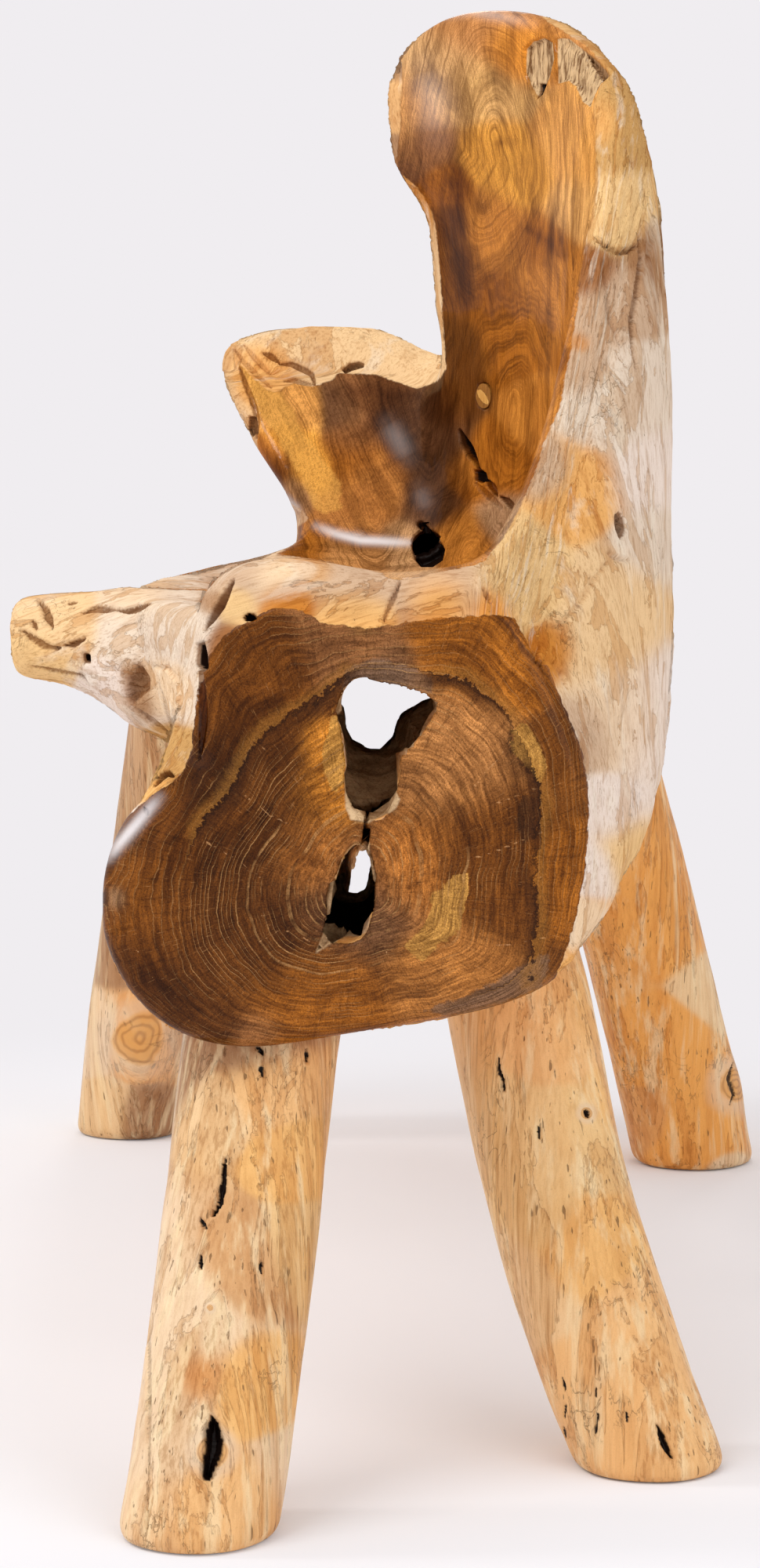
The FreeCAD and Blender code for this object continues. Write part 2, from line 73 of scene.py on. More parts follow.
@dataclass(frozen=True)
class Sight:
    """The photograph's pinhole camera, which looks along -X and a little down."""

    place: tuple[float, float, float] = (2.7031, -0.0230, 0.6260)
    pitch_deg: float = 6.04
    focal_px: float = 5200.0
    middle_px: tuple[float, float] = (485.0, 1000.0)
    long_side_px: float = 2000.0
    sensor_mm: float = 36.0

    def axes(self) -> tuple[np.ndarray, np.ndarray, np.ndarray]:
        """Forward, right and up of the camera.

        Returns:
            Three unit vectors in the row frame.
        """
        pitch = math.radians(self.pitch_deg)
        forward = np.array([-math.cos(pitch), 0.0, -math.sin(pitch)])
        right = np.array([0.0, 1.0, 0.0])
        up = np.array([-math.sin(pitch), 0.0, math.cos(pitch)])
        return forward, right, up

    def project(self, points: np.ndarray) -> tuple[np.ndarray, np.ndarray]:
        """Photograph coordinates of points: focal length times offset over depth.

        Args:
            points: N by 3 places in the row frame.

        Returns:
            The pixel column and the pixel row of each point.
        """
        forward, right, up = self.axes()
        offset = points - np.array(self.place)
        depth = offset @ forward
        column = self.middle_px[0] + self.focal_px * (offset @ right) / depth
        row = self.middle_px[1] - self.focal_px * (offset @ up) / depth
        return column, row

    def set_camera(self) -> None:
        """Put the scene's camera at the viewpoint."""
        data = bpy.data.cameras.new("viewpoint")
        data.sensor_width = self.sensor_mm
        data.lens = self.focal_px * self.sensor_mm / self.long_side_px
        camera = bpy.data.objects.new("viewpoint", data)
        camera.location = self.place
        camera.rotation_euler = (math.radians(90.0 - self.pitch_deg), 0.0, math.radians(90.0))
        bpy.context.scene.collection.objects.link(camera)
        bpy.context.scene.camera = camera


SIGHT = Sight()


# Fields over points


def smooth(value: np.ndarray, low: float, high: float) -> np.ndarray:
    """Smooth step from 0 at low to 1 at high: three t squared less two t cubed."""
    t = np.clip((value - low) / (high - low), 0.0, 1.0)
    return t * t * (3.0 - 2.0 * t)


@dataclass(frozen=True)
class Lumps:
    """Seeded smooth noise: random values on a lattice, joined by fifth degree fades."""

    seed: int
    cells: int = 32

    def at(self, points: np.ndarray, size: float, octaves: int = 1) -> np.ndarray:
        """Noise from about -1 to 1.

        Args:
            points: N by 3 places.
            size: Length of one lattice cell.
            octaves: Layers, each half as large and half as strong as the last.

        Returns:
            One value per point.
        """
        table = np.random.default_rng(self.seed).random((self.cells,) * 3) * 2.0 - 1.0
        total = np.zeros(len(points))
        for octave in range(octaves):
            spot = points / (size * 0.5**octave) + 7.31 * octave
            cell = np.floor(spot).astype(int)
            t = spot - cell
            fade = t * t * t * (t * (6.0 * t - 15.0) + 10.0)
            for corner in range(8):
                bits = np.array([corner & 1, corner >> 1 & 1, corner >> 2 & 1])
                index = (cell + bits) % self.cells
                share = np.prod(np.where(bits == 1, fade, 1.0 - fade), axis=1)
                total += share * table[index[:, 0], index[:, 1], index[:, 2]] * 0.5**octave
        return total


def line_field(
    x: np.ndarray, y: np.ndarray, line: tuple[tuple[float, float], ...]
) -> tuple[np.ndarray, np.ndarray]:
    """Distance to a polyline and the share of the way along it at the nearest point.

    Args:
        x: Pixel columns.
        y: Pixel rows.
        line: Corners of the polyline.

    Returns:
        Distances in pixels, and shares from 0 to 1.
    """
    corners = np.array(line, float)
    steps = np.hypot(*(corners[1:] - corners[:-1]).T)
    run = np.concatenate([[0.0], np.cumsum(steps)])
    best = np.full(len(x), 1e9)
    along = np.zeros(len(x))
    for (ax, ay), (bx, by), start, step in zip(corners[:-1], corners[1:], run, steps):
        t = ((x - ax) * (bx - ax) + (y - ay) * (by - ay)) / (step * step)
        t = np.clip(t, 0.0, 1.0)
        gap = np.hypot(x - ax - t * (bx - ax), y - ay - t * (by - ay))
        near = gap < best
        best = np.where(near, gap, best)
        along = np.where(near, (start + t * step) / run[-1], along)
    return best, along


def inside_field(
    x: np.ndarray, y: np.ndarray, outline: tuple[tuple[float, float], ...]
) -> np.ndarray:
    """Signed distance to a closed outline in pixels, above zero inside it.

    Args:
        x: Pixel columns.
        y: Pixel rows.
        outline: Corners of the outline, in pixels.

    Returns:
        Distances in pixels, below zero outside.
    """
    corners = np.array(outline, float)
    inside = np.zeros(len(x), bool)
    for (ax, ay), (bx, by) in zip(corners, np.roll(corners, -1, axis=0)):
        if ay == by:
            continue
        crosses = (ay > y) != (by > y)
        inside ^= crosses & (x < (bx - ax) * (y - ay) / (by - ay) + ax)
    gap, _ = line_field(x, y, tuple(outline) + (outline[0],))
    return np.where(inside, gap, -gap)


# Tones


def tone(red: float, green: float, blue: float) -> tuple[float, float, float]:
    """Linear colour from 0 to 255 display values, by the usual display curve.

    Args:
        red: Red, from 0 to 255.
        green: Green, from 0 to 255.
        blue: Blue, from 0 to 255.

    Returns:
        Red, green and blue as linear shares.
    """
    out = []
    for value in (red, green, blue):
        share = value / 255.0
        out.append(share / 12.92 if share <= 0.04045 else ((share + 0.055) / 1.055) ** 2.4)
    return tuple(out)


class Wood(Enum):
    """Named tones of the wood, as display values."""

    SOOT = (26, 15, 11)
    UMBER = (72, 38, 16)
    CHESTNUT = (100, 55, 20)
    HONEY = (186, 116, 46)
    COPPER = (200, 130, 64)
    STRAW = (236, 190, 128)
    EBONY = (108, 61, 21)
    BISTRE = (132, 76, 25)
    COFFEE = (122, 82, 54)
    WALNUT = (178, 106, 33)
    RUST = (161, 106, 63)
    CINNAMON = (208, 134, 56)
    SIENNA = (183, 141, 104)
    TAWNY = (228, 144, 65)
    CARAMEL = (215, 147, 85)
    GINGER = (242, 156, 57)
    TOFFEE = (210, 163, 102)
    MAPLE = (243, 170, 71)
    FAWN = (228, 164, 99)
    ALMOND = (218, 167, 115)
    BISCUIT = (243, 173, 92)
    WHEAT = (241, 180, 108)
    CORN = (210, 177, 147)
    REED = (243, 189, 119)
    ASH = (243, 192, 132)
    PARCHMENT = (241, 200, 142)
    CREAM = (242, 204, 155)
    VELLUM = (242, 211, 174)
    CHALK = (234, 214, 193)
    PEARL = (243, 225, 211)

    @property
    def linear(self) -> tuple[float, float, float]:
        """The tone as a linear colour."""
        return tone(*self.value)


def painted(
    x: np.ndarray, y: np.ndarray, dabs: tuple[tuple[float, float, float, Wood], ...]
) -> np.ndarray:
    """Broad colour: the mean of soft round dabs, weighted by a bell of each one's size.

    Args:
        x: Pixel columns.
        y: Pixel rows.
        dabs: Column, row, radius and tone of each dab.

    Returns:
        N by 4 linear colours.
    """
    total = np.zeros((len(x), 3))
    weight = np.zeros(len(x))
    for column, row, radius, wood in dabs:
        gap = ((x - column) ** 2 + (y - row) ** 2) / (radius * radius)
        share = np.exp(-0.5 * np.minimum(gap, 60.0)) + 1e-4 / (1.0 + gap) ** 2
        total += share[:, None] * np.array(wood.linear)
        weight += share
    return np.column_stack([total / weight[:, None], np.ones(len(x))])


# Carved forms


@dataclass(frozen=True)
class Groove:
    """A cut that follows a line of the photograph.

    Attributes:
        line: Its corners in pixels.
        half_px: Half its width in pixels.
        depth_mm: Its depth.
        dark: How dark the painted shade inside it is, from 0 to 1.
        tapered: Whether it narrows towards both ends.
    """

    line: tuple[tuple[float, float], ...]
    half_px: float
    depth_mm: float
    dark: float = 1.0
    tapered: bool = True

    def share(self, x: np.ndarray, y: np.ndarray) -> np.ndarray:
        """How far each point is into the cut, from 0 at its edge to 1.

        Args:
            x: Pixel columns.
            y: Pixel rows.

        Returns:
            One share per point.
        """
        gap, along = line_field(x, y, self.line)
        width = np.full(len(x), self.half_px)
        if self.tapered:
            width = width * (0.35 + 0.65 * np.sin(math.pi * np.clip(along, 0.0, 1.0)))
        return 1.0 - smooth(gap / width, 0.55, 1.15)

    def near(self, x: np.ndarray, y: np.ndarray, margin: float) -> np.ndarray:
        """True for points within a margin of the cut."""
        return line_field(x, y, self.line)[0] < self.half_px + margin


@dataclass(frozen=True)
class Pit:
    """A hollow inside a closed outline of the photograph."""

    outline: tuple[tuple[float, float], ...]
    depth_mm: float
    # How dark the painted shade inside the hollow is, from 0 to 1.
    dark: float = 1.0
    edge_px: float = 5.0

    def share(self, x: np.ndarray, y: np.ndarray) -> np.ndarray:
        """How far each point is into the hollow, from 0 at its edge to 1."""
        return smooth(inside_field(x, y, self.outline), -0.4 * self.edge_px, self.edge_px)

    def near(self, x: np.ndarray, y: np.ndarray, margin: float) -> np.ndarray:
        """True for points within a margin of the hollow."""
        return inside_field(x, y, self.outline) > -margin


class Carving:
    """Arrays of one piece while it is carved: points, four-sided faces, what is seen."""

    def __init__(self, node: bpy.types.Object, voxel: float, settle: int) -> None:
        """Take a merged copy of a solid, as even quads.

        Args:
            node: The CAD node to copy.
            voxel: Size of the quads.
            settle: Passes of smoothing that keep the volume.
        """
        mesh = node.data.copy()
        work = bmesh.new()
        work.from_mesh(mesh)
        bmesh.ops.remove_doubles(work, verts=work.verts, dist=1e-6)
        work.to_mesh(mesh)
        work.free()
        blank = bpy.data.objects.new("blank", mesh)
        bpy.context.scene.collection.objects.link(blank)
        evener = blank.modifiers.new("evener", "REMESH")
        evener.mode = "VOXEL"
        evener.voxel_size = voxel
        evener.adaptivity = 0.0
        graph = bpy.context.evaluated_depsgraph_get()
        even = bpy.data.meshes.new_from_object(blank.evaluated_get(graph))
        self.points = np.zeros(len(even.vertices) * 3)
        even.vertices.foreach_get("co", self.points)
        self.points = self.points.reshape(-1, 3)
        corners = np.zeros(len(even.loops), int)
        even.loops.foreach_get("vertex_index", corners)
        self.quads = corners.reshape(-1, 4)
        bpy.data.objects.remove(blank)
        bpy.data.meshes.remove(even)
        self.held: list[tuple[np.ndarray, np.ndarray, np.ndarray]] = []
        self.fields: dict[str, np.ndarray] = {}
        self.join()
        self.settle(settle)
        self.refresh()
        self.seen = self.find_seen()

    def join(self) -> None:
        """List the edges between points, and how many meet at each."""
        ends = np.vstack([self.quads[:, [k, (k + 1) % 4]] for k in range(4)])
        self.edges = np.unique(np.sort(ends, axis=1), axis=0)
        self.degree = np.bincount(self.edges.ravel(), minlength=len(self.points))

    def settle(self, passes: int) -> None:
        """Smooth the points a little without shrinking the form."""
        for _ in range(passes):
            self.points = self.spread(self.points, 0.5)
            self.points = self.spread(self.points, -0.52)

    def refine(self, chosen: np.ndarray) -> None:
        """Split chosen quads in four; points left on a coarse edge are held at its middle.

        Args:
            chosen: True for each quad to split.
        """
        for ids, _, _ in self.held:
            chosen = chosen & ~np.isin(self.quads, ids).any(axis=1)
        quads, rest = self.quads[chosen], self.quads[~chosen]
        count = len(self.points)
        ends = np.sort(np.stack([quads, np.roll(quads, -1, axis=1)], axis=-1), axis=-1)
        keys, place = np.unique(ends[..., 0] * count + ends[..., 1], return_inverse=True)
        first, second = keys // count, keys % count
        middle = count + place.reshape(-1, 4)
        centre = count + len(keys) + np.arange(len(quads))
        split = [
            np.stack([quads[:, k], middle[:, k], centre, middle[:, k - 1]], axis=1)
            for k in range(4)]
        outer = np.sort(np.stack([rest, np.roll(rest, -1, axis=1)], axis=-1), axis=-1)
        shared = np.isin(keys, (outer[..., 0] * count + outer[..., 1]).ravel())
        ids = count + np.nonzero(shared)[0]
        self.held.append((ids, first[shared], second[shared]))
        self.points = self.grown(self.points, first, second, quads)
        self.normals = self.grown(self.normals, first, second, quads)
        self.seen = self.grown(self.seen, first, second, quads)
        for label, values in self.fields.items():
            self.fields[label] = self.grown(values, first, second, quads)
        self.quads = np.vstack([rest, *split])
        self.join()
        self.refresh()

    @staticmethod
    def grown(
        values: np.ndarray, first: np.ndarray, second: np.ndarray, quads: np.ndarray
    ) -> np.ndarray:
        """Values with those of the new edge middles and face centres added."""
        edge = (values[first] + values[second]) * 0.5
        return np.concatenate([values, edge, values[quads].mean(axis=1)])

    def hold(self, values: np.ndarray) -> None:
        """Set values on coarse edges to the mean of the edge's ends, so no gap opens."""
        for ids, first, second in self.held:
            values[ids] = (values[first] + values[second]) * 0.5

    def snap(self, node: bpy.types.Object, chosen: np.ndarray, reach: float) -> None:
        """Bring chosen points onto the solid's own surface where it is near.

        Args:
            node: The CAD node.
            chosen: True for each point to bring.
            reach: Longest move.
        """
        solid = BVHTree.FromObject(node, bpy.context.evaluated_depsgraph_get())
        for index in np.nonzero(chosen)[0]:
            spot = solid.find_nearest(Vector(self.points[index]), reach)[0]
            if spot is not None:
                self.points[index] = spot

    def spread(self, values: np.ndarray, amount: float) -> np.ndarray:
        """Values moved towards the mean of their neighbours by a share.

        Args:
            values: One value or row per point.
            amount: Share of the way; below zero sharpens.

        Returns:
            The moved values.
        """
        rows = values.reshape(len(self.points), -1)
        mean = np.empty_like(rows)
        left, right = self.edges[:, 0], self.edges[:, 1]
        for k in range(rows.shape[1]):
            total = np.bincount(left, rows[right, k], len(rows))
            total += np.bincount(right, rows[left, k], len(rows))
            mean[:, k] = total / np.maximum(self.degree, 1)
        return (rows + (mean - rows) * amount).reshape(values.shape)

    def refresh(self) -> None:
        """Work out the normals and the photograph coordinates again."""
        self.hold(self.points)
        corner = self.points[self.quads]
        cross = np.cross(corner[:, 2] - corner[:, 0], corner[:, 3] - corner[:, 1])
        normal = np.zeros_like(self.points)
        for k in range(4):
            for axis in range(3):
                normal[:, axis] += np.bincount(
                    self.quads[:, k], cross[:, axis], len(self.points)
                )
        self.normals = normal / np.maximum(np.linalg.norm(normal, axis=1, keepdims=True), 1e-12)
        self.hold(self.normals)
        self.x, self.y = SIGHT.project(self.points)

    def find_seen(self) -> np.ndarray:
        """1 where the viewpoint sees a point, 0 where it doesn't, softened a little.

        Returns:
            One share per point.
        """
        tree = BVHTree.FromPolygons(self.points.tolist(), self.quads.tolist())
        eye = np.array(SIGHT.place)
        away = self.points - eye
        reach = np.linalg.norm(away, axis=1)
        away = away / reach[:, None]
        seen = np.zeros(len(self.points))
        facing = np.einsum("ij,ij->i", self.normals, away) < 0.05
        start = Vector(eye)
        for index in np.nonzero(facing)[0]:
            hit = tree.ray_cast(start, Vector(away[index]), reach[index])
            if hit[3] is None or hit[3] > reach[index] - 4.0 * MM:
                seen[index] = 1.0
        for _ in range(3):
            seen = self.spread(seen, 0.5)
        return smooth(seen, 0.25, 0.75)

    def push(self, amount: np.ndarray) -> None:
        """Move every point along its normal by an amount."""
        self.points = self.points + self.normals * amount[:, None]

    def cut(self, cuts: tuple["Groove | Pit", ...], where: np.ndarray | None = None) -> None:
        """Carve grooves and pits where they are seen, and note the shade painted inside them.

        Args:
            cuts: The grooves and pits.
            where: Optional share of each point that may be cut.
        """
        allowed = self.seen if where is None else self.seen * where
        # Painted shade inside each cut, by its share and darkness.
        dark = self.fields.setdefault("dark", np.zeros(len(self.points)))
        for one in cuts:
            share = one.share(self.x, self.y) * allowed
            self.push(-share * one.depth_mm * MM)
            dark[:] = np.maximum(dark, np.minimum(share * 2.2, 1.0) * one.dark)

    def piece(self, name: str, keep: np.ndarray, finish: bpy.types.Material) -> bpy.types.Object:
        """Make a Blender object of some of the faces, shaded as part of the whole.

        Args:
            name: The piece's name.
            keep: True for each quad that belongs to the piece.
            finish: Its material.

        Returns:
            The finished object.
        """
        self.points = np.clip(self.points, *BOX)
        quads = self.quads[keep]
        used, flat = np.unique(quads, return_inverse=True)
        quads = flat.reshape(-1, 4)
        mesh = bpy.data.meshes.new(name)
        mesh.vertices.add(len(used))
        mesh.vertices.foreach_set("co", self.points[used].astype(np.float32).ravel())
        mesh.loops.add(quads.size)
        mesh.loops.foreach_set("vertex_index", quads.ravel().astype(np.int32))
        mesh.polygons.add(len(quads))
        mesh.polygons.foreach_set("loop_start", np.arange(0, quads.size, 4, dtype=np.int32))
        mesh.update(calc_edges=True)
        mesh.polygons.foreach_set("use_smooth", np.ones(len(quads), bool))
        for label, values in self.fields.items():
            self.hold(values)
            rows = values[used].astype(np.float32)
            if rows.ndim == 1:
                layer = mesh.attributes.new(label, "FLOAT", "POINT")
                layer.data.foreach_set("value", rows)
            elif rows.shape[1] == 3:
                layer = mesh.attributes.new(label, "FLOAT_VECTOR", "POINT")
                layer.data.foreach_set("vector", rows.ravel())
            else:
                layer = mesh.attributes.new(label, "FLOAT_COLOR", "POINT")
                layer.data.foreach_set("color", rows.ravel())
        mesh.normals_split_custom_set_from_vertices(self.normals[used].tolist())
        mesh.materials.append(finish)
        made = bpy.data.objects.new(name, mesh)
        bpy.context.scene.collection.objects.link(made)
        return made


# Shader building

class Value:
    """One output of a material's node, open to plain sums: each adds a node."""

    def __init__(self, finish: "Finish", socket: bpy.types.NodeSocket) -> None:
        """Keep the output and the finish that it belongs to."""
        self.finish, self.socket = finish, socket

    def __add__(self, other: "Feed") -> "Value":
        """Sum of two numbers."""
        return self.finish.math("ADD", self, other)

    def __sub__(self, other: "Feed") -> "Value":
        """Difference of two numbers."""
        return self.finish.math("SUBTRACT", self, other)

    def __mul__(self, other: "Feed") -> "Value":
        """Product of two numbers."""
        return self.finish.math("MULTIPLY", self, other)

    def __abs__(self) -> "Value":
        """Size of a number without its sign."""
        return self.finish.math("ABSOLUTE", self)

    def step(self, low: float, high: float) -> "Value":
        """Smooth step of this number from 0 at low to 1 at high."""
        feeds = {"Value": self, "From Min": low, "From Max": high}
        return self.finish.value(
            "ShaderNodeMapRange", feeds, "Result", interpolation_type="SMOOTHSTEP")

    def over(self, share: "Feed", other: "Feed") -> "Value":
        """This colour with a share of another laid over it."""
        return self.finish.mix(share, self, other)

    def shade(self, share: "Feed", other: "Feed") -> "Value":
        """This colour multiplied by another, by a share."""
        return self.finish.mix(share, self, other, "MULTIPLY")


Feed = Value | bpy.types.NodeSocket | float | tuple


class Finish:
    """A material being built: each method adds a node and gives its output."""

    def __init__(self, name: str) -> None:
        """Start an empty material with this name.

        Args:
            name: Name of the material.
        """
        self.material = bpy.data.materials.new(name)
        self.material.use_nodes = True
        self.tree = self.material.node_tree
        self.tree.nodes.clear()

    def add(self, kind: str, feeds: dict[str | int, Feed], **settings: object) -> bpy.types.Node:
        """Add a node.

        Args:
            kind: The node's type.
            feeds: Socket name or number to a value or another node's output.
            settings: Properties of the node.

        Returns:
            The node.
        """
        node = self.tree.nodes.new(kind)
        for label, value in settings.items():
            setattr(node, label, value)
        for label, value in feeds.items():
            self.feed(node.inputs[label], value)
        return node

    def feed(self, socket: bpy.types.NodeSocket, value: Feed) -> None:
        """Link an output to a socket, or set the socket to a plain value."""
        if isinstance(value, Value):
            value = value.socket
        if isinstance(value, bpy.types.NodeSocket):
            self.tree.links.new(value, socket)
        else:
            socket.default_value = value

    def value(
        self, kind: str, feeds: dict[str | int, Feed], output: str | int = 0, **settings: object
    ) -> Value:
        """One output of a new node."""
        return Value(self, self.add(kind, feeds, **settings).outputs[output])

    def math(self, work: str, first: Feed, second: Feed = 0.0, clamp: bool = False) -> Value:
        """Result of one sum on two numbers."""
        feeds = {0: first, 1: second}
        return self.value("ShaderNodeMath", feeds, operation=work, use_clamp=clamp)

    def mix(self, share: Feed, first: Feed, second: Feed, blend: str = "MIX") -> Value:
        """Two colours mixed by a share.

        Args:
            share: How much of the second colour, from 0 to 1.
            first: The colour underneath.
            second: The colour laid on it.
            blend: How the two are mixed.

        Returns:
            The mixed colour.
        """
        node = self.add("ShaderNodeMix", {}, data_type="RGBA", blend_type=blend, clamp_factor=True)
        self.feed(node.inputs[0], share)
        for socket, colour in ((node.inputs[6], first), (node.inputs[7], second)):
            self.feed(socket, (*colour[:3], 1.0) if isinstance(colour, tuple) else colour)
        return Value(self, node.outputs[2])

    def noise(
        self, place: Feed, scale: float, detail: float = 2.0, rough: float = 0.5, twist: float = 0.0
    ) -> Value:
        """Noise from 0 to 1 over a place."""
        return self.value("ShaderNodeTexNoise", {
            "Vector": place, "Scale": scale, "Detail": detail, "Roughness": rough,
            "Distortion": twist})

    def stretch(self, place: Feed, scale: tuple[float, float, float]) -> Value:
        """A place scaled along each axis."""
        return self.value("ShaderNodeMapping", {"Vector": place, "Scale": scale})

    def field(self, name: str, kind: str = "Fac") -> Value:
        """One of the piece's own fields: Fac, Vector or Color."""
        return self.value("ShaderNodeAttribute", {}, kind, attribute_name=name)

    def place(self) -> Value:
        """Object coordinates."""
        return self.value("ShaderNodeTexCoord", {}, "Object")

    def join(self, x: Feed, y: Feed, z: Feed) -> Value:
        """A place from three numbers."""
        return self.value("ShaderNodeCombineXYZ", {0: x, 1: y, 2: z})

    def bump(self, height: Feed, strength: float, distance: float) -> Value:
        """Normal tilted by a height field, in metres."""
        feeds = {"Height": height, "Strength": strength, "Distance": distance}
        return self.value("ShaderNodeBump", feeds)

    def surface(self, feeds: dict[str, Feed]) -> bpy.types.Material:
        """Close the material with a principled surface.

        Args:
            feeds: Socket names of the surface to values or outputs.

        Returns:
            The finished material.
        """
        skin = self.add("ShaderNodeBsdfPrincipled", feeds)
        self.add("ShaderNodeOutputMaterial", {"Surface": skin.outputs[0]})
        return self.material


# The root


@dataclass(frozen=True)
class RootMarks:
    """Where the photograph shows the root's outlines, cuts, tones and painted highlights, in pixels."""

    polished: tuple = (
        (470, -20), (640, -20), (700, 28), (748, 58), (778, 90), (765, 112), (758, 135),
        (760, 160), (761, 200), (760, 250), (757, 285), (748, 303), (745, 330), (740, 370),
        (736, 400), (729, 450), (722, 482), (714, 522), (703, 545), (694, 565), (688, 590),
        (678, 615), (666, 643), (653, 668), (638, 692), (620, 716), (600, 722), (560, 730),
        (530, 738), (515, 743), (505, 743), (495, 739), (488, 731), (470, 726), (440, 721),
        (400, 714), (370, 709), (352, 708), (366, 700), (380, 691), (380, 672), (394, 662),
        (385, 650), (360, 636), (335, 612), (318, 590), (331, 578), (326, 555), (328, 540),
        (322, 520), (310, 490), (303, 462), (318, 478), (340, 497), (352, 500), (375, 488),
        (400, 492), (425, 485), (432, 475), (440, 476), (480, 478), (510, 488), (530, 495),
        (550, 490), (560, 484), (570, 470), (567, 430), (565, 400), (562, 350), (557, 300),
        (555, 283), (546, 260), (533, 240), (520, 228), (508, 219), (505, 205), (508, 190),
        (512, 165), (511, 140), (513, 110), (511, 80), (500, 70), (470, 60))
    end_grain: tuple = (
        (262, 850), (266, 838), (275, 825), (285, 812), (300, 800), (318, 793), (330, 785),
        (342, 778), (352, 776), (370, 777), (390, 780), (398, 785), (410, 795), (425, 797),
        (445, 799), (470, 802), (490, 799), (505, 797), (520, 793), (545, 791), (570, 788),
        (600, 786), (640, 785), (655, 786), (662, 795), (668, 808), (675, 822), (685, 838),
        (700, 850), (705, 865), (712, 880), (722, 905), (733, 930), (743, 960), (750, 1000),
        (752, 1040), (750, 1080), (745, 1120), (737, 1160), (728, 1195), (716, 1230),
        (700, 1275), (640, 1310), (500, 1345), (300, 1375), (180, 1315), (125, 1250),
        (96, 1180), (94, 1120), (108, 1098), (124, 1084), (137, 1070), (149, 1055),
        (162, 1042), (178, 1028), (196, 1014), (214, 1004), (230, 990), (243, 960), (246, 930),
        (250, 900), (253, 870))
    pith: tuple = (450.0, 1135.0)
    ring_contour: tuple = (
        (450, 850), (560, 860), (620, 885), (655, 925), (685, 990), (692, 1050), (682, 1110),
        (682, 1180), (670, 1240), (600, 1272), (520, 1290), (450, 1305), (370, 1308),
        (300, 1290), (250, 1240), (228, 1180), (232, 1120), (258, 1050), (300, 1000),
        (330, 945), (385, 900), (430, 870))
    end_contour: tuple = (
        (450, 780), (560, 772), (640, 770), (700, 840), (738, 930), (752, 1030), (745, 1130),
        (722, 1215), (690, 1262), (600, 1295), (520, 1315), (450, 1330), (370, 1345),
        (300, 1345), (210, 1318), (150, 1250), (122, 1180), (128, 1105), (205, 1015),
        (240, 930), (262, 830), (340, 775))
    jags: tuple = (
        ((445, 862), (430, 872), (415, 885), (400, 897), (385, 905), (365, 915), (350, 925),
         (338, 938), (325, 948), (315, 965), (308, 980), (300, 1000), (290, 1015),
         (278, 1030), (262, 1045), (252, 1060)),
        ((555, 868), (575, 862), (590, 866), (605, 876), (620, 888), (635, 900), (650, 912),
         (652, 930), (650, 948), (655, 962), (665, 975), (680, 985), (688, 1000),
         (692, 1020), (690, 1045), (683, 1065), (682, 1090), (681, 1120), (684, 1150),
         (684, 1185), (680, 1215), (677, 1250)))
    rays: tuple = (
        ((256, 1070), (300, 1095), (340, 1125)), ((330, 948), (352, 968), (385, 1002)),
        ((695, 1060), (640, 1083), (590, 1100)), ((690, 1003), (660, 1015), (625, 1028)),
        ((395, 1200), (360, 1185), (325, 1205)), ((300, 1005), (345, 1040), (370, 1052)),
        ((655, 945), (620, 985), (600, 1010)), ((700, 1195), (650, 1205), (615, 1208)))
    cores: tuple = (
        ((650, 545), (654, 510)),
        ((616, 258), (642, 212), (630, 172)),
        ((398, 450), (440, 560), (478, 660)),
        ((600, 722), (612, 712)))
    roll: tuple = ((232, 985), (205, 1030), (175, 1068), (146, 1108), (134, 1150))
    upper_mouth: tuple = (
        (461, 868), (475, 875), (500, 878), (530, 884), (549, 893), (556, 898), (546, 910),
        (538, 925), (533, 938), (520, 953), (503, 959), (504, 990), (505, 1008), (512, 1020),
        (505, 1033), (485, 1045), (470, 1050), (447, 1046), (440, 1030), (440, 1000),
        (446, 975), (445, 950), (438, 925), (431, 905), (437, 890), (450, 876))
    lower_mouth: tuple = (
        (468, 1060), (464, 1075), (455, 1092), (443, 1110), (433, 1120), (420, 1130),
        (417, 1150), (418, 1175), (410, 1195), (402, 1217), (425, 1203), (440, 1192),
        (457, 1193), (462, 1178), (474, 1162), (476, 1140), (478, 1120), (473, 1100),
        (472, 1075))
    gold: tuple = (
        ((545, 1165), (548, 1145), (560, 1132), (580, 1120), (597, 1115), (597, 1135),
         (592, 1160), (585, 1185), (568, 1200), (552, 1215), (540, 1225), (528, 1220),
         (518, 1207), (530, 1195), (540, 1188)),
        ((648, 928), (672, 925), (690, 945), (697, 975), (690, 998), (668, 972), (655, 955)),
        ((425, 905), (437, 925), (443, 950), (445, 975), (440, 1000), (425, 1010),
         (412, 985), (415, 945)),
        ((310, 467), (341, 485), (372, 520), (394, 555), (416, 586), (436, 617), (438, 648),
         (416, 661), (401, 648), (388, 621), (368, 586), (341, 546), (319, 511)))
    mauve: tuple = (
        ((436, 880), (442, 858), (455, 847), (475, 841), (500, 844), (530, 850), (552, 866),
         (554, 886), (530, 882), (500, 876), (462, 868), (456, 878)),
        ((540, 1290), (600, 1268), (660, 1235), (700, 1215), (690, 1262), (600, 1295)))
    stain: tuple = (
        ((624, 180), (640, 173), (661, 177), (657, 190), (637, 190)),
        ((654, 281), (680, 285), (706, 301), (726, 327), (716, 334), (693, 314), (663, 298)),
        ((575, 196), (594, 216), (600, 295), (606, 393), (595, 419), (578, 366), (572, 295)),
        ((321, 533), (341, 555), (368, 595), (388, 630), (399, 652), (372, 630), (341, 599),
         (326, 577)),
        ((434, 489), (469, 485), (513, 494), (548, 496), (566, 489), (575, 516), (584, 546),
         (588, 586), (601, 612), (610, 630), (592, 665), (566, 683), (548, 665), (531, 665),
         (513, 630), (495, 595), (478, 564), (460, 533), (438, 516)),
        ((278, 985), (300, 958), (322, 962), (312, 985), (285, 1018), (268, 1030)),
        ((668, 1010), (684, 1022), (683, 1055), (672, 1075), (660, 1050)))
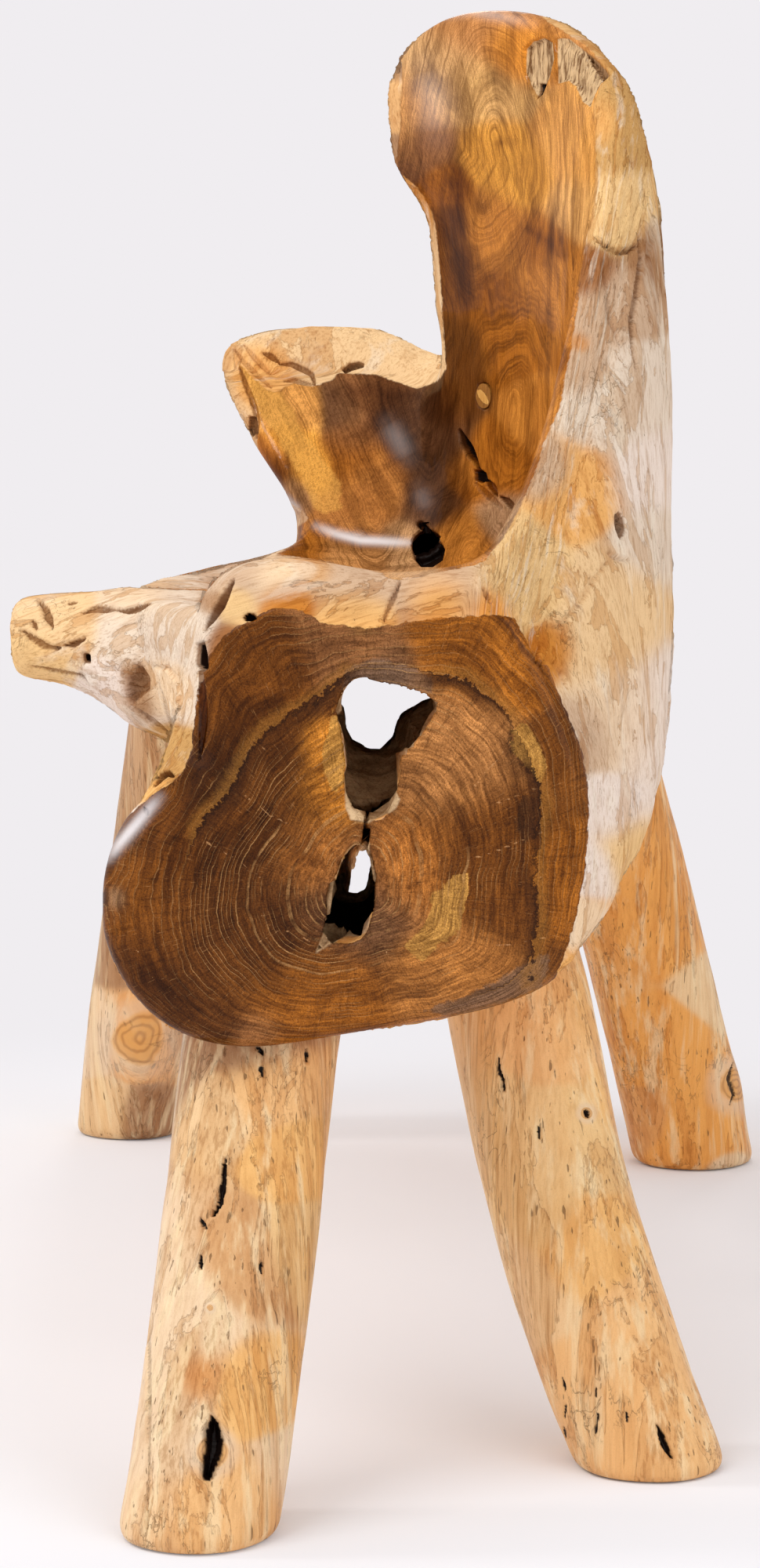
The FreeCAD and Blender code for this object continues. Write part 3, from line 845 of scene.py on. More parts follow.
    # Painted highlights: the line, width and strength of each pale sheen streak laid into the colour.
    painted_highlight: tuple = (
        (((494, 540), (508, 562), (520, 584)), 13.0, 0.15),
        (((534, 622), (545, 650)), 11.0, 0.10),
        (((404, 671), (429, 681), (460, 689), (504, 691), (530, 692)), 5.5, 1.0),
        (((384, 660), (378, 648), (360, 632)), 5.0, 0.40),
        (((202, 1020), (184, 1041), (166, 1062), (150, 1081), (138, 1098)), 7.0, 1.0),
        (((112, 1116), (108, 1150), (112, 1200)), 6.0, 0.30),
        (((520, 20), (600, 12), (680, 30)), 8.0, 0.25),
        (((540, 90), (552, 130), (556, 170)), 22.0, 0.20))
    outer_edge: tuple = (
        (790, 90), (830, 180), (850, 300), (852, 450), (850, 600), (850, 800), (835, 950),
        (800, 1080), (750, 1190))
    scallop: tuple = (
        (205, 0.0), (225, 5.0), (245, 13.0), (262, 19.0), (285, 21.0), (320, 15.0),
        (350, 8.0), (395, 0.0))


@dataclass(frozen=True)
class RootCuts:
    """Grooves and hollows of the root, as the photograph shows them."""

    back: tuple = (
        Groove(((587, 550), (592, 563), (600, 577), (609, 593)), 6.2, 14.0, 1.0),
        Groove(((607, 588), (612, 602)), 2.6, 5.0, 0.75, False),
        Pit(((604, 600), (612, 598), (620, 604), (622, 612), (614, 616), (605, 612)), 9.0, 1.0, 3.0),
        Groove(((620, 612), (628, 622), (634, 632)), 5.0, 4.5, 0.60),
        Groove(((638, 634), (648, 640), (655, 648), (662, 652)), 4.5, 3.5, 0.50),
        Groove(((606, 616), (620, 630), (640, 648)), 5.0, 1.6, 0.25))
    torn: tuple = (
        Pit(((668, 62), (678, 52), (692, 47), (704, 54), (706, 75), (700, 100), (692, 116),
             (684, 126), (677, 114), (669, 95)), 5.0, 0.0, 4.0),
        Pit(((680, 108), (697, 108), (692, 120), (684, 127)), 5.0, 1.0, 3.0),
        Pit(((708, 48), (724, 46), (745, 62), (765, 76), (781, 93), (766, 106), (758, 120),
             (752, 138), (740, 130), (733, 112), (724, 104), (709, 108)), 3.5, 0.12, 5.0),
        Pit(((745, 62), (765, 76), (781, 93), (768, 104), (758, 92), (748, 78)), 2.0, 0.42, 5.0),
        Pit(((498, 76), (512, 78), (513, 108), (503, 112), (497, 100)), 2.5, 0.0, 3.0))
    arm: tuple = (
        Pit(((436, 471), (446, 463), (458, 460), (465, 463), (464, 468), (450, 472),
             (441, 476)), 5.0, 0.72, 3.0),
        Groove(((336, 450), (345, 453), (356, 462)), 4.5, 2.5, 0.42),
        Groove(((357, 464), (372, 464), (388, 471), (398, 477), (402, 490)), 4.5, 2.5, 0.40),
        Groove(((362, 486), (375, 484), (390, 488), (402, 490)), 3.5, 1.6, 0.32),
        Groove(((300, 446), (312, 462), (330, 480), (346, 494)), 4.0, 1.6, 0.26),
        Groove(((312, 440), (325, 456), (345, 476)), 4.0, 1.6, 0.24),
        Pit(((316, 448), (332, 456), (350, 472), (372, 480), (396, 488), (400, 494), (380, 490),
             (352, 484), (330, 470)), 2.4, 0.12, 6.0),
        Groove(((306, 470), (314, 492), (324, 518), (328, 540), (327, 560)), 4.5, 2.0, 0.32),
        Pit(((317, 532), (325, 530), (327, 552), (320, 560), (316, 550)), 4.0, 0.70, 2.5))
    hole: tuple = (
        Pit(((528, 693), (536, 684), (548, 680), (560, 688), (567, 700), (564, 714),
             (552, 722), (538, 722), (529, 712)), 9.0, 1.0, 4.0),
        Groove(((536, 668), (544, 676), (552, 686)), 4.5, 6.0, 1.0, False))
    rim: tuple = (
        Groove(((297, 740), (288, 756), (280, 772), (270, 788), (261, 802)), 7.0, 7.0, 0.62),
        Pit(((250, 822), (260, 818), (264, 836), (265, 852), (256, 858), (248, 846)), 9.0, 1.0, 4.0),
        Groove(((255, 850), (257, 880), (259, 915), (257, 945), (253, 968)), 6.5, 2.2, 0.50),
        Pit(((310, 787), (318, 782), (327, 784), (326, 790), (314, 792)), 6.0, 1.0, 2.0),
        Groove(((510, 742), (504, 758), (497, 775), (490, 792)), 4.0, 2.5, 0.30),
        Groove(((618, 750), (622, 762), (627, 770)), 4.0, 2.0, 0.26),
        Groove(((198, 1002), (206, 990), (214, 986), (221, 990)), 5.0, 5.0, 0.70),
        Groove(((184, 1030), (190, 1040)), 2.5, 1.5, 0.6),
        Groove(((690, 824), (687, 836), (684, 845)), 3.0, 2.0, 0.1))
    mouth: tuple = (
        Pit(((461, 868), (500, 878), (530, 884), (549, 893), (556, 898), (546, 910), (538, 925),
             (533, 938), (520, 953), (503, 959), (504, 990), (505, 1006), (495, 1020),
             (475, 1034), (455, 1030), (443, 1012), (442, 990), (446, 970), (444, 950),
             (437, 925), (431, 905), (437, 890), (450, 876)), 9.0, 0.0, 7.0),
        Pit(((472, 1004), (480, 1000), (498, 1004), (500, 1014), (486, 1022), (466, 1026),
             (458, 1018)), 10.0, 0.85, 6.0),
        Groove(((468, 1019), (470, 1032), (468, 1046), (467, 1062)), 1.8, 6.0, 1.0, False),
        Groove(((468, 1060), (466, 1075), (460, 1088)), 4.5, 9.0, 1.0, False),
        Groove(((461, 1086), (450, 1100), (438, 1116)), 3.0, 6.0, 0.9, False),
        Pit(((434, 1120), (420, 1130), (417, 1150), (419, 1172), (430, 1172), (440, 1176),
             (452, 1190), (460, 1192), (463, 1178), (474, 1162), (476, 1140), (478, 1118),
             (474, 1100), (470, 1085), (466, 1100), (460, 1120)), 12.0, 1.0, 4.0),
        Pit(((419, 1170), (412, 1192), (403, 1214), (424, 1203), (440, 1192), (447, 1182),
             (436, 1174)), 7.0, 0.15, 3.0))
    outer: tuple = (
        Groove(((757, 303), (768, 309), (780, 317), (793, 322), (803, 319), (812, 314)), 5.0, 4.0, 0.3),
        Groove(((815, 300), (818, 330), (812, 380), (806, 410), (808, 445), (812, 470)), 4.0, 3.0, 0.3),
        Groove(((770, 330), (775, 370), (780, 410), (792, 440)), 4.0, 2.0, 0.17),
        Groove(((835, 270), (832, 300), (826, 330)), 5.0, 2.0, 0.17),
        Pit(((785, 657), (792, 652), (798, 664), (799, 680), (792, 688), (786, 674)), 6.0, 0.7, 4.0),
        Groove(((776, 705), (788, 712), (804, 716)), 4.0, 3.0, 0.19),
        Groove(((700, 800), (716, 798), (735, 776), (756, 742), (776, 716)), 4.0, 2.0, 0.14),
        Groove(((690, 850), (700, 838), (712, 850), (724, 878)), 4.0, 2.5, 0.17))
    nub: tuple = (
        Groove(((50, 766), (57, 776), (62, 790), (66, 800)), 6.0, 3.5, 0.42),
        Groove(((42, 792), (46, 803)), 4.0, 3.0, 0.45),
        Groove(((28, 804), (44, 816), (58, 826), (76, 828)), 5.5, 3.0, 0.40),
        Groove(((82, 824), (95, 821), (108, 814)), 4.0, 3.5, 0.55),
        Groove(((106, 782), (120, 776), (138, 777), (150, 776)), 5.0, 2.5, 0.38),
        Groove(((150, 777), (164, 779), (176, 776), (192, 769)), 4.5, 3.5, 0.55),
        Groove(((86, 770), (98, 768)), 2.5, 2.0, 0.5),
        Groove(((40, 850), (80, 858), (104, 862), (112, 872)), 3.0, 2.0, 0.35),
        Pit(((105, 834), (114, 834), (115, 846), (106, 846)), 8.0, 1.0, 2.5),
        Pit(((160, 864), (172, 856), (170, 846), (180, 848), (190, 864), (190, 880),
             (178, 892), (168, 901), (160, 884)), 6.0, 0.34, 7.0),
        Groove(((196, 850), (214, 852), (226, 868), (231, 900), (224, 934)), 5.0, 2.5, 0.12),
        Groove(((175, 905), (192, 918), (214, 934)), 4.0, 2.0, 0.3),
        Groove(((206, 880), (212, 905), (219, 930)), 3.0, 1.5, 0.25))


ROOT_MARKS = RootMarks()
ROOT_CUTS = RootCuts()

END_DABS = (
    (450, 1140, 39, Wood.COFFEE), (360, 1050, 46, Wood.EBONY), (330, 1200, 46, Wood.EBONY),
    (405, 1090, 25, Wood.TAWNY), (424, 960, 15, Wood.GINGER), (420, 1020, 20, Wood.GINGER),
    (560, 960, 39, Wood.CARAMEL), (600, 1080, 39, Wood.BISTRE), (520, 1100, 27, Wood.TAWNY),
    (350, 860, 23, Wood.BISTRE), (300, 900, 27, Wood.BISTRE), (600, 825, 34, Wood.WALNUT),
    (450, 822, 27, Wood.RUST), (500, 848, 15, Wood.COFFEE), (460, 790, 9, Wood.WHEAT),
    (705, 950, 17, Wood.BISTRE), (705, 1100, 14, Wood.WALNUT), (738, 1080, 10, Wood.WALNUT),
    (735, 1160, 11, Wood.WALNUT), (200, 1080, 27, Wood.BISTRE), (185, 1170, 27, Wood.BISTRE),
    (400, 1290, 39, Wood.WALNUT), (250, 1280, 31, Wood.EBONY), (560, 1250, 28, Wood.COPPER),
    (280, 960, 19, Wood.EBONY), (330, 970, 17, Wood.EBONY), (672, 1040, 9, Wood.BISTRE),
    (665, 880, 13, Wood.WALNUT), (330, 1320, 15, Wood.RUST), (147, 1150, 6, Wood.SIENNA),
    (132, 1150, 5, Wood.EBONY), (150, 1225, 9, Wood.EBONY), (165, 1075, 8, Wood.COFFEE),
    (190, 1045, 7, Wood.BISTRE), (145, 1105, 8, Wood.EBONY), (440, 890, 11, Wood.BISTRE))

INNER_DABS = (
    (600, 30, 27, Wood.CARAMEL), (560, 90, 24, Wood.ASH), (525, 130, 21, Wood.FAWN),
    (550, 180, 15, Wood.RUST), (600, 110, 21, Wood.REED), (620, 190, 15, Wood.MAPLE),
    (670, 230, 16, Wood.MAPLE), (645, 60, 16, Wood.GINGER), (740, 200, 19, Wood.BISCUIT),
    (735, 260, 16, Wood.WHEAT), (640, 300, 21, Wood.CINNAMON), (685, 310, 16, Wood.WALNUT),
    (700, 370, 21, Wood.CINNAMON), (650, 400, 24, Wood.WALNUT), (596, 330, 9, Wood.BISTRE),
    (573, 290, 11, Wood.BISTRE), (580, 370, 13, Wood.BISTRE), (585, 440, 15, Wood.EBONY),
    (572, 235, 11, Wood.WALNUT), (690, 530, 15, Wood.CINNAMON), (625, 600, 18, Wood.WALNUT),
    (345, 520, 11, Wood.BISCUIT), (370, 560, 12, Wood.MAPLE), (395, 600, 12, Wood.MAPLE),
    (345, 590, 13, Wood.TAWNY), (372, 630, 10, Wood.ALMOND), (385, 525, 11, Wood.BISCUIT),
    (462, 510, 15, Wood.RUST), (520, 520, 24, Wood.COFFEE), (575, 500, 13, Wood.EBONY),
    (455, 585, 16, Wood.WALNUT), (480, 625, 18, Wood.COPPER), (450, 665, 18, Wood.COPPER),
    (560, 580, 16, Wood.COFFEE), (590, 600, 11, Wood.CINNAMON), (545, 640, 16, Wood.COFFEE),
    (590, 690, 15, Wood.CINNAMON), (640, 660, 13, Wood.SIENNA), (450, 715, 21, Wood.FAWN),
    (520, 730, 13, Wood.ALMOND), (400, 700, 11, Wood.WALNUT), (510, 690, 11, Wood.ALMOND),
    (350, 600, 12, Wood.BISTRE),
    (374, 632, 10, Wood.RUST),
    (456, 560, 14, Wood.RUST),
    (474, 604, 14, Wood.COPPER),
    (440, 520, 13, Wood.COFFEE),
    (502, 500, 16, Wood.CHESTNUT),
    (545, 560, 18, Wood.COFFEE),
    (566, 528, 13, Wood.CHESTNUT))

SKIN_DABS = (
    (450, 440, 25, Wood.CREAM), (390, 450, 17, Wood.CREAM), (355, 470, 11, Wood.WHEAT),
    (520, 230, 11, Wood.WHEAT), (503, 125, 13, Wood.ASH), (503, 90, 7, Wood.SIENNA),
    (503, 195, 7, Wood.SIENNA), (772, 160, 10, Wood.WHEAT), (795, 170, 17, Wood.TOFFEE),
    (800, 270, 17, Wood.PARCHMENT), (845, 320, 16, Wood.SIENNA), (762, 350, 11, Wood.RUST),
    (790, 380, 16, Wood.CORN), (752, 420, 13, Wood.CORN), (745, 470, 13, Wood.CORN),
    (742, 435, 6, Wood.CINNAMON), (790, 520, 23, Wood.CHALK), (705, 600, 13, Wood.CORN),
    (745, 620, 20, Wood.WHEAT), (830, 600, 20, Wood.PEARL), (845, 700, 21, Wood.CHALK),
    (800, 770, 25, Wood.CREAM), (780, 820, 25, Wood.CREAM), (752, 930, 16, Wood.CORN),
    (800, 900, 25, Wood.VELLUM), (780, 1040, 16, Wood.PEARL), (800, 1080, 16, Wood.PARCHMENT),
    (752, 1100, 13, Wood.PEARL), (738, 1180, 11, Wood.VELLUM), (350, 728, 16, Wood.VELLUM),
    (450, 735, 20, Wood.CORN), (400, 726, 13, Wood.ALMOND), (580, 742, 23, Wood.CORN),
    (650, 740, 23, Wood.PARCHMENT), (705, 830, 13, Wood.CINNAMON), (365, 765, 13, Wood.CINNAMON),
    (450, 782, 16, Wood.REED), (570, 762, 16, Wood.MAPLE), (630, 772, 13, Wood.GINGER),
    (290, 825, 11, Wood.RUST), (300, 770, 10, Wood.PARCHMENT), (270, 770, 7, Wood.SIENNA),
    (215, 975, 10, Wood.TOFFEE), (190, 1010, 10, Wood.REED), (185, 1050, 11, Wood.PEARL),
    (205, 790, 25, Wood.CHALK), (135, 880, 11, Wood.PEARL), (60, 775, 20, Wood.CREAM),
    (40, 845, 16, Wood.PARCHMENT), (180, 755, 17, Wood.VELLUM), (310, 712, 21, Wood.CORN),
    (175, 870, 10, Wood.SIENNA), (205, 865, 10, Wood.VELLUM), (850, 900, 29, Wood.PEARL),
    (600, 1300, 58, Wood.WHEAT), (300, 1345, 20, Wood.FAWN))


@dataclass
class Root:
    """The carved root: seat, scooped back, arm, nub and the sawn polished end."""

    voxel: float = 3.6 * MM
    settle: int = 3
    end_plane: float = 0.535
    split_places: tuple[float, ...] = (-0.30, -0.02, 0.27)
    split_height: float = 0.40
    pixel: float = 0.45 * MM
    far_pixel: float = 0.57 * MM
    sitter: tuple[float, float, float] = (-0.04, -0.10, 0.56)

    def build(self) -> list[bpy.types.Object]:
        """Carve and dress the root, in pieces small enough for the export.

        Returns:
            The pieces.
        """
        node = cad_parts["root_body"]
        carving = Carving(node, self.voxel, self.settle)
        self.sharpen(carving, node)
        self.scallop(carving)
        self.mark(carving)
        self.weather(carving)
        self.carve(carving)
        finish = RootFinish().build()
        middle = carving.points[carving.quads].mean(axis=1)
        bounds = (-9.0, *self.split_places, 9.0)
        made = []
        below = middle[:, 2] < self.split_height
        for index, (low, high) in enumerate(zip(bounds[:-1], bounds[1:])):
            slab = (middle[:, 0] >= low) & (middle[:, 0] < high)
            for part, keep in (("low", below), ("high", ~below)):
                piece = carving.piece(f"root_wood_{index + 1}_{part}", slab & keep, finish)
                LOG.info("%s: %d faces", piece.name, len(piece.data.polygons))
                made.append(piece)
        return made

    def sharpen(self, carving: Carving, node: bpy.types.Object) -> None:
        """Split the seen faces once and those at mouths, cuts and edges twice.

        Args:
            carving: The piece being carved.
            node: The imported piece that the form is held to.
        """
        before = len(carving.points)
        carving.refine(carving.seen[carving.quads].max(axis=1) > 0.3)
        fresh = np.zeros(len(carving.points), bool)
        fresh[carving.quads[carving.seen[carving.quads].max(axis=1) > 0.3]] = True
        carving.snap(node, fresh, self.voxel)
        carving.refresh()
        x, y = carving.x, carving.y
        close = np.zeros(len(x), bool)
        end = carving.points[:, 0] > 0.40
        for outline in (ROOT_MARKS.upper_mouth, ROOT_MARKS.lower_mouth):
            close |= (np.abs(inside_field(x, y, outline)) < 16.0) & end
        for group in (ROOT_CUTS.torn, ROOT_CUTS.back, ROOT_CUTS.arm, ROOT_CUTS.hole):
            for one in group:
                close |= one.near(x, y, 5.0) & ~end
        for group in (ROOT_CUTS.rim, ROOT_CUTS.nub, ROOT_CUTS.mouth):
            for one in group:
                close |= one.near(x, y, 5.0) & (carving.points[:, 0] > 0.2)
        close &= carving.seen > 0.3
        carving.refine(close[carving.quads].any(axis=1))
        again = np.arange(len(carving.points)) >= len(x)
        carving.snap(node, again, self.voxel)
        carving.settle(1)
        carving.refresh()
        LOG.info("root: %d points, %d before sharpening", len(carving.points), before)

    def scallop(self, carving: Carving) -> None:
        """Draw the back's far edge in by a bow of the photograph, row by row.

        Args:
            carving: The piece being carved.
        """
        rows, bow = np.array(ROOT_MARKS.scallop).T
        edge = np.interp(carving.y, (205.0, 440.0), (503.0, 553.0))
        fall = smooth(edge + 85.0 - carving.x, 0.0, 85.0)
        shift = np.interp(carving.y, rows, bow, 0.0, 0.0) * fall
        far = smooth(-carving.points[:, 0], 0.16, 0.24)
        carving.points[:, 1] += shift * far * self.far_pixel
        carving.refresh()

    def mark(self, carving: Carving) -> None:
        """Work out where the wood is polished, sawn or natural, its rings, its tones and its painted
        highlights.

        Polish is the signed distance to the polished outline where the surface is
        seen. Elsewhere it is the share of the normal that points at the sitter.

        Args:
            carving: The piece being carved.
        """
        x, y, seen = carving.x, carving.y, carving.seen
        points, normals = carving.points, carving.normals
        towards = np.array(self.sitter) - points
        facing = np.einsum("ij,ij->i", normals, towards) / np.linalg.norm(towards, axis=1)
        hidden = np.clip((facing - 0.10) * 60.0, -60, 60)
        outline = np.clip(inside_field(x, y, ROOT_MARKS.polished), -60, 60)
        polish = np.where(seen > 0.5, outline, hidden)
        on_end = smooth(points[:, 0], self.end_plane - 0.03, self.end_plane - 0.005)
        on_end = on_end * smooth(normals[:, 0], 0.05, 0.35)
        rolled = smooth(points[:, 0], 0.42, 0.46) * (x < 236.0) * (y > 996.0) * (y < 1230.0)
        on_end = np.maximum(on_end, rolled)
        end = np.clip(inside_field(x, y, ROOT_MARKS.end_grain), -60, 60)
        end = np.where(on_end > 0.5, end, -60.0)
        inside = (points[:, 0] > 0.10) & (points[:, 0] < 0.60) & (normals[:, 0] < 0.75)
        for mouth in (ROOT_MARKS.upper_mouth, ROOT_MARKS.lower_mouth):
            inside_px = inside_field(x, y, mouth)
            end = np.where(inside & (inside_px > -6.0), -30.0, end)
        polish = np.where(on_end > 0.5, np.minimum(polish, -8.0), polish)
        for _ in range(2):
            polish = carving.spread(polish, 0.5)
            end = carving.spread(end, 0.5)
        carving.fields["polish"] = polish
        carving.fields["end"] = end
        carving.fields["hollow"] = self.hollow(carving)
        self.mark_rings(carving)
        self.lay_grain(carving)
        carving.fields["end_tone"] = painted(x, y, END_DABS)
        carving.fields["inner_tone"] = painted(x, y, INNER_DABS)
        carving.fields["skin_tone"] = painted(x, y, SKIN_DABS)
        # Painted highlight: soft pale streaks along the highlight lines, where the surface is seen.
        painted_highlight = np.zeros(len(x))
        for line, width, strength in ROOT_MARKS.painted_highlight:
            gap, along = line_field(x, y, line)
            fade = np.sqrt(np.sin(math.pi * np.clip(along, 0.02, 0.98)))
            painted_highlight = np.maximum(painted_highlight, np.exp(-((gap / width) ** 2)) * fade * strength)
        carving.fields["painted_highlight"] = painted_highlight * seen
        for label in ("gold", "mauve", "stain"):
            shapes = [inside_field(x, y, shape) for shape in getattr(ROOT_MARKS, label)]
            carving.fields[label] = np.clip(np.max(shapes, axis=0), -60.0, 60.0)

    def hollow(self, carving: Carving) -> np.ndarray:
        """How deep in the rotted heart a point is, from 0 at the sawn end to 1.

        Args:
            carving: The piece being carved.

        Returns:
            One share per point.
        """
        points = carving.points
        share = np.zeros(len(points))
        for mouth in (ROOT_MARKS.upper_mouth, ROOT_MARKS.lower_mouth):
            near = smooth(inside_field(carving.x, carving.y, mouth), -2.0, 3.0)
            share = np.maximum(share, near)
        return share * smooth(0.594 - points[:, 0], 0.0, 0.07) * smooth(points[:, 0], 0.0, 0.1)

    def mark_rings(self, carving: Carving) -> None:
        """Growth rings of the end, the jagged stain line and the figure elsewhere.

        Inside the contour a ring's size is the distance from the pith over the
        contour's distance that way, times its mean; outside, it runs on evenly to
        the rim. The figure is the least distance to any of the knots' core lines,
        flattened beyond their ends.

        Args:
            carving: The piece being carved.
        """
        x, y = carving.x, carving.y
        px, py = ROOT_MARKS.pith
        turn = np.arctan2(y - py, x - px)
        reach = np.hypot(x - px, y - py)
        contours = []
        for outline in (ROOT_MARKS.ring_contour, ROOT_MARKS.end_contour):
            corners = np.array(outline, float) - np.array(ROOT_MARKS.pith)
            angle = np.arctan2(corners[:, 1], corners[:, 0])
            order = np.argsort(angle)
            angle, size = angle[order], np.hypot(*corners[order].T)
            angle = np.concatenate([angle - 2 * math.pi, angle, angle + 2 * math.pi])
            fine = np.linspace(-math.pi, math.pi, 361)
            even = np.interp(fine, angle, np.tile(size, 3))[:-1]
            kernel = np.hanning(19) / np.hanning(19).sum()
            even = np.convolve(np.tile(even, 3), kernel, "same")[360:720]
            contours.append(np.interp(turn, fine, np.append(even, even[0])))
        near, far = contours
        inner = reach / near * 190.0
        outer = 190.0 + (reach - near) / np.maximum(far - near, 12.0) * 52.0
        carving.fields["ring"] = np.where(reach < near, inner, outer)
        carving.fields["spoke"] = np.column_stack([np.cos(turn), np.sin(turn), reach / 200.0])
        jag = np.min([line_field(x, y, line)[0] for line in ROOT_MARKS.jags], axis=0)
        carving.fields["jag"] = np.where(reach > near, jag, -jag)
        ray = np.min([line_field(x, y, line)[0] for line in ROOT_MARKS.rays], axis=0)
        carving.fields["ray"] = ray
        figure = np.full(len(x), 400.0)
        for core, weight in zip(ROOT_MARKS.cores, (1.0, 1.2, 1.0, 0.9)):
            wide = 0.45
            tall = tuple((a, b * wide) for a, b in core)
            gap, _ = line_field(x, y * wide, tall)
            blend = np.maximum(30.0 - np.abs(figure - gap * weight), 0.0) / 30.0
            figure = np.minimum(figure, gap * weight) - blend * blend * 30.0 * 0.25
        carving.fields["figure"] = figure

    def lay_grain(self, carving: Carving) -> None:
        """Lay the natural skin's grain: along the outer edge, along rim and nub, or the trunk.

        Where the skin is seen, the first number is the distance across the grain
        and the last the distance along it; elsewhere the grain runs along the trunk.

        Args:
            carving: The piece being carved.
        """
        x, y, seen = carving.x, carving.y, carving.seen
        gap, along = line_field(x, y, ROOT_MARKS.outer_edge)
        outward = smooth(x + 0.25 * y, 780.0, 900.0)
        upper_arm = smooth(500.0 - y, 0.0, 30.0) * smooth(565.0 - x, 0.0, 20.0)
        across = (y + 0.28 * x) * (1.0 - outward) + gap * outward
        down = (x - 0.28 * y) * (1.0 - outward) + along * 1400.0 * outward
        across = across * (1.0 - upper_arm) + (x + 0.2 * y) * upper_arm
        down = down * (1.0 - upper_arm) + (y - 0.2 * x) * upper_arm
        shown = np.column_stack([
            across * self.pixel, carving.points[:, 0] * 0.5, down * self.pixel])
        points = carving.points
        behind = np.column_stack([points[:, 1] + 0.3 * points[:, 2], points[:, 2], points[:, 0]])
        carving.fields["lay"] = shown * seen[:, None] + behind * (1.0 - seen[:, None])

    def weather(self, carving: Carving) -> None:
        """Give the natural skin its swells, ridges and dents, and the end its rolled edge.

        Args:
            carving: The piece being carved.
        """
        points = carving.points
        polish, end = carving.fields["polish"], carving.fields["end"]
        natural = smooth(-polish, 0.0, 14.0) * smooth(-end, -2.0, 8.0)
        lay = carving.fields["lay"]
        swell = Lumps(3).at(points, 0.070, 2) * 1.7
        ridge = Lumps(5).at(lay * np.array([1.0, 1.0, 0.22]), 0.014, 2) * 0.9
        small = Lumps(6).at(lay * np.array([1.0, 1.0, 0.4]), 0.006, 1) * 0.35
        deep = 1.0 - carving.fields["hollow"]
        carving.push((swell + ridge + small - 0.8) * MM * natural * deep)
        soft = Lumps(8).at(points, 0.05, 2) * 0.5
        carving.push(soft * MM * (1.0 - natural) * smooth(-end, -6.0, 6.0))
        rotten = Lumps(9).at(points, 0.016, 3) * 2.2
        carving.push((rotten - 0.5) * MM * carving.fields["hollow"])
        on_rim = smooth(points[:, 0], self.end_plane, self.end_plane + 0.02)
        on_rim = on_rim * smooth(-end, -3.0, 5.0) * smooth(carving.y, 1010.0, 960.0)
        on_rim = on_rim * (1.0 - carving.fields["hollow"])
        step = (2.2 + 1.6 * Lumps(11).at(points, 0.022, 2)) * MM
        carving.points[:, 0] -= on_rim * step
        gap, _ = line_field(carving.x, carving.y, ROOT_MARKS.roll)
        roll = smooth(46.0 - gap, 0.0, 46.0) * smooth(points[:, 0], 0.50, 0.55)
        carving.points[:, 0] -= roll * 13.0 * MM
        carving.refresh()

    def carve(self, carving: Carving) -> None:
        """Cut the root's cracks, hollows, notches and holes.

        Args:
            carving: The piece being carved.
        """
        x = carving.points[:, 0]
        far = smooth(-x, -0.30, -0.20)
        near = smooth(x, 0.44, 0.50)
        rough = np.zeros(len(x))
        for cut in ROOT_CUTS.torn:
            rough = np.maximum(rough, cut.share(carving.x, carving.y) * carving.seen * far)
        carving.fields["rough"] = rough
        tufts = Lumps(17).at(carving.points * np.array([1.0, 1.0, 0.25]), 0.004, 2) * 1.3
        carving.push(tufts * rough * MM)
        carving.cut(ROOT_CUTS.torn, far)
        carving.cut(ROOT_CUTS.back, far)
        carving.cut(ROOT_CUTS.arm, far)
        carving.cut(ROOT_CUTS.hole, far)
        # Painted shade down the corner hole's shaft, below the seat.
        off_hole = np.abs(carving.points[:, 0] + 0.30)
        shaft = ROOT_CUTS.hole[0].share(carving.x, carving.y)
        shaft = shaft * smooth(0.05 - off_hole, -0.08, -0.04)
        shaft = shaft * smooth(0.53 - carving.points[:, 2], 0.0, 0.02)
        carving.fields["dark"] = np.maximum(carving.fields["dark"], shaft)
        carving.cut(ROOT_CUTS.rim, near)
        carving.cut(ROOT_CUTS.mouth, near)
        carving.cut(ROOT_CUTS.outer)
        carving.cut(ROOT_CUTS.nub, smooth(-carving.points[:, 1], 0.05, 0.08))
        carving.refresh()


